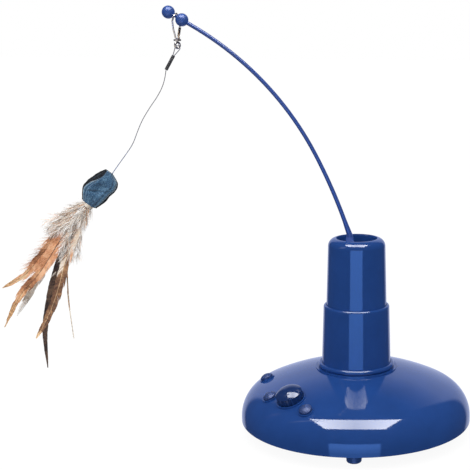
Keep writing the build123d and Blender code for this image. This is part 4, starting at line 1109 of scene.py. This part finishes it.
def upright_card(name, left, right, front, low, top, colour, strength, foot=1.0):
    """An upright card in front that only reflections see, dimmer towards its foot."""
    corners = [(left, front, low), (right, front, low), (right, front, top), (left, front, top)]
    obj = mesh_object(name, corners, [(0, 1, 2, 3)], [])
    mat, tree, brightness, place = glow_material(name, colour)
    level = spread(tree, place["Z"], foot * strength, strength, start=-0.4, end=-0.02)
    tree.links.new(level, brightness)
    obj.data.materials.append(mat)
    reflected_only(obj)


def place_light(data, place, target, energy):
    """Hangs a light that points at target and makes no highlight of its own."""
    data.energy = energy
    obj = bpy.data.objects.new(data.name, data)
    obj.location = place
    obj.rotation_euler = (Vector(target) - Vector(place)).to_track_quat("-Z", "Y").to_euler()
    obj.visible_glossy = False
    bpy.context.scene.collection.objects.link(obj)


def lamp(name, place, target, size, energy):
    data = bpy.data.lights.new(name, "AREA")
    data.shape = "RECTANGLE"
    data.size = size
    data.size_y = size
    place_light(data, place, target, energy)


def spot(name, place, target, angle, energy):
    data = bpy.data.lights.new(name, "SPOT")
    data.spot_size = math.radians(angle)
    data.spot_blend = 0.7
    data.shadow_soft_size = 0.2
    place_light(data, place, target, energy)


def camera():
    data = bpy.data.cameras.new("photo")
    data.sensor_width = FILM_WIDTH
    data.lens = FILM_WIDTH * FOCAL_PIXELS / PICTURE_SIDE
    data.shift_x = (PICTURE_SIDE / 2 - AXIS_PIXEL) / PICTURE_SIDE
    data.clip_end = 30.0
    obj = bpy.data.objects.new("photo", data)
    tilt = Matrix.Rotation(math.radians(90.0 - CAMERA_DIP), 4, "X")
    roll = Matrix.Rotation(math.radians(CAMERA_ROLL), 4, "Z")
    obj.matrix_world = Matrix.Translation(CAMERA_PLACE) @ tilt @ roll
    bpy.context.scene.collection.objects.link(obj)
    bpy.context.scene.camera = obj


world_light()
floor()
soft_box("top_box", centre=(0.0, -0.76, 2.25), size_x=2.35, size_y=1.45, strength=15.5)
upright_card(
    "blue_card",
    left=-0.522,
    right=0.522,
    front=-1.2,
    low=-0.7,
    top=0.205,
    colour=(0.156, 0.363, 1.0),
    strength=4.8,
    foot=0.5,
)
upright_card(
    "white_card",
    left=-0.33,
    right=-0.12,
    front=-0.12,
    low=0.24,
    top=0.378,
    colour=(1.0, 0.95, 0.88),
    strength=1.0,
)
lamp("key", place=(-0.7, -1.3, 1.9), target=(0, 0, 0.15), size=1.2, energy=9.0)
lamp("fill", place=(1.2, -0.8, 1.2), target=(0, 0, 0.15), size=1.2, energy=4.0)
spot("lure_fill", place=(-0.62, -1.1, 0.75), target=(-0.3, 0, 0.2), angle=25.0, energy=22.0)
camera()
bpy.context.scene.view_settings.view_transform = "Standard"
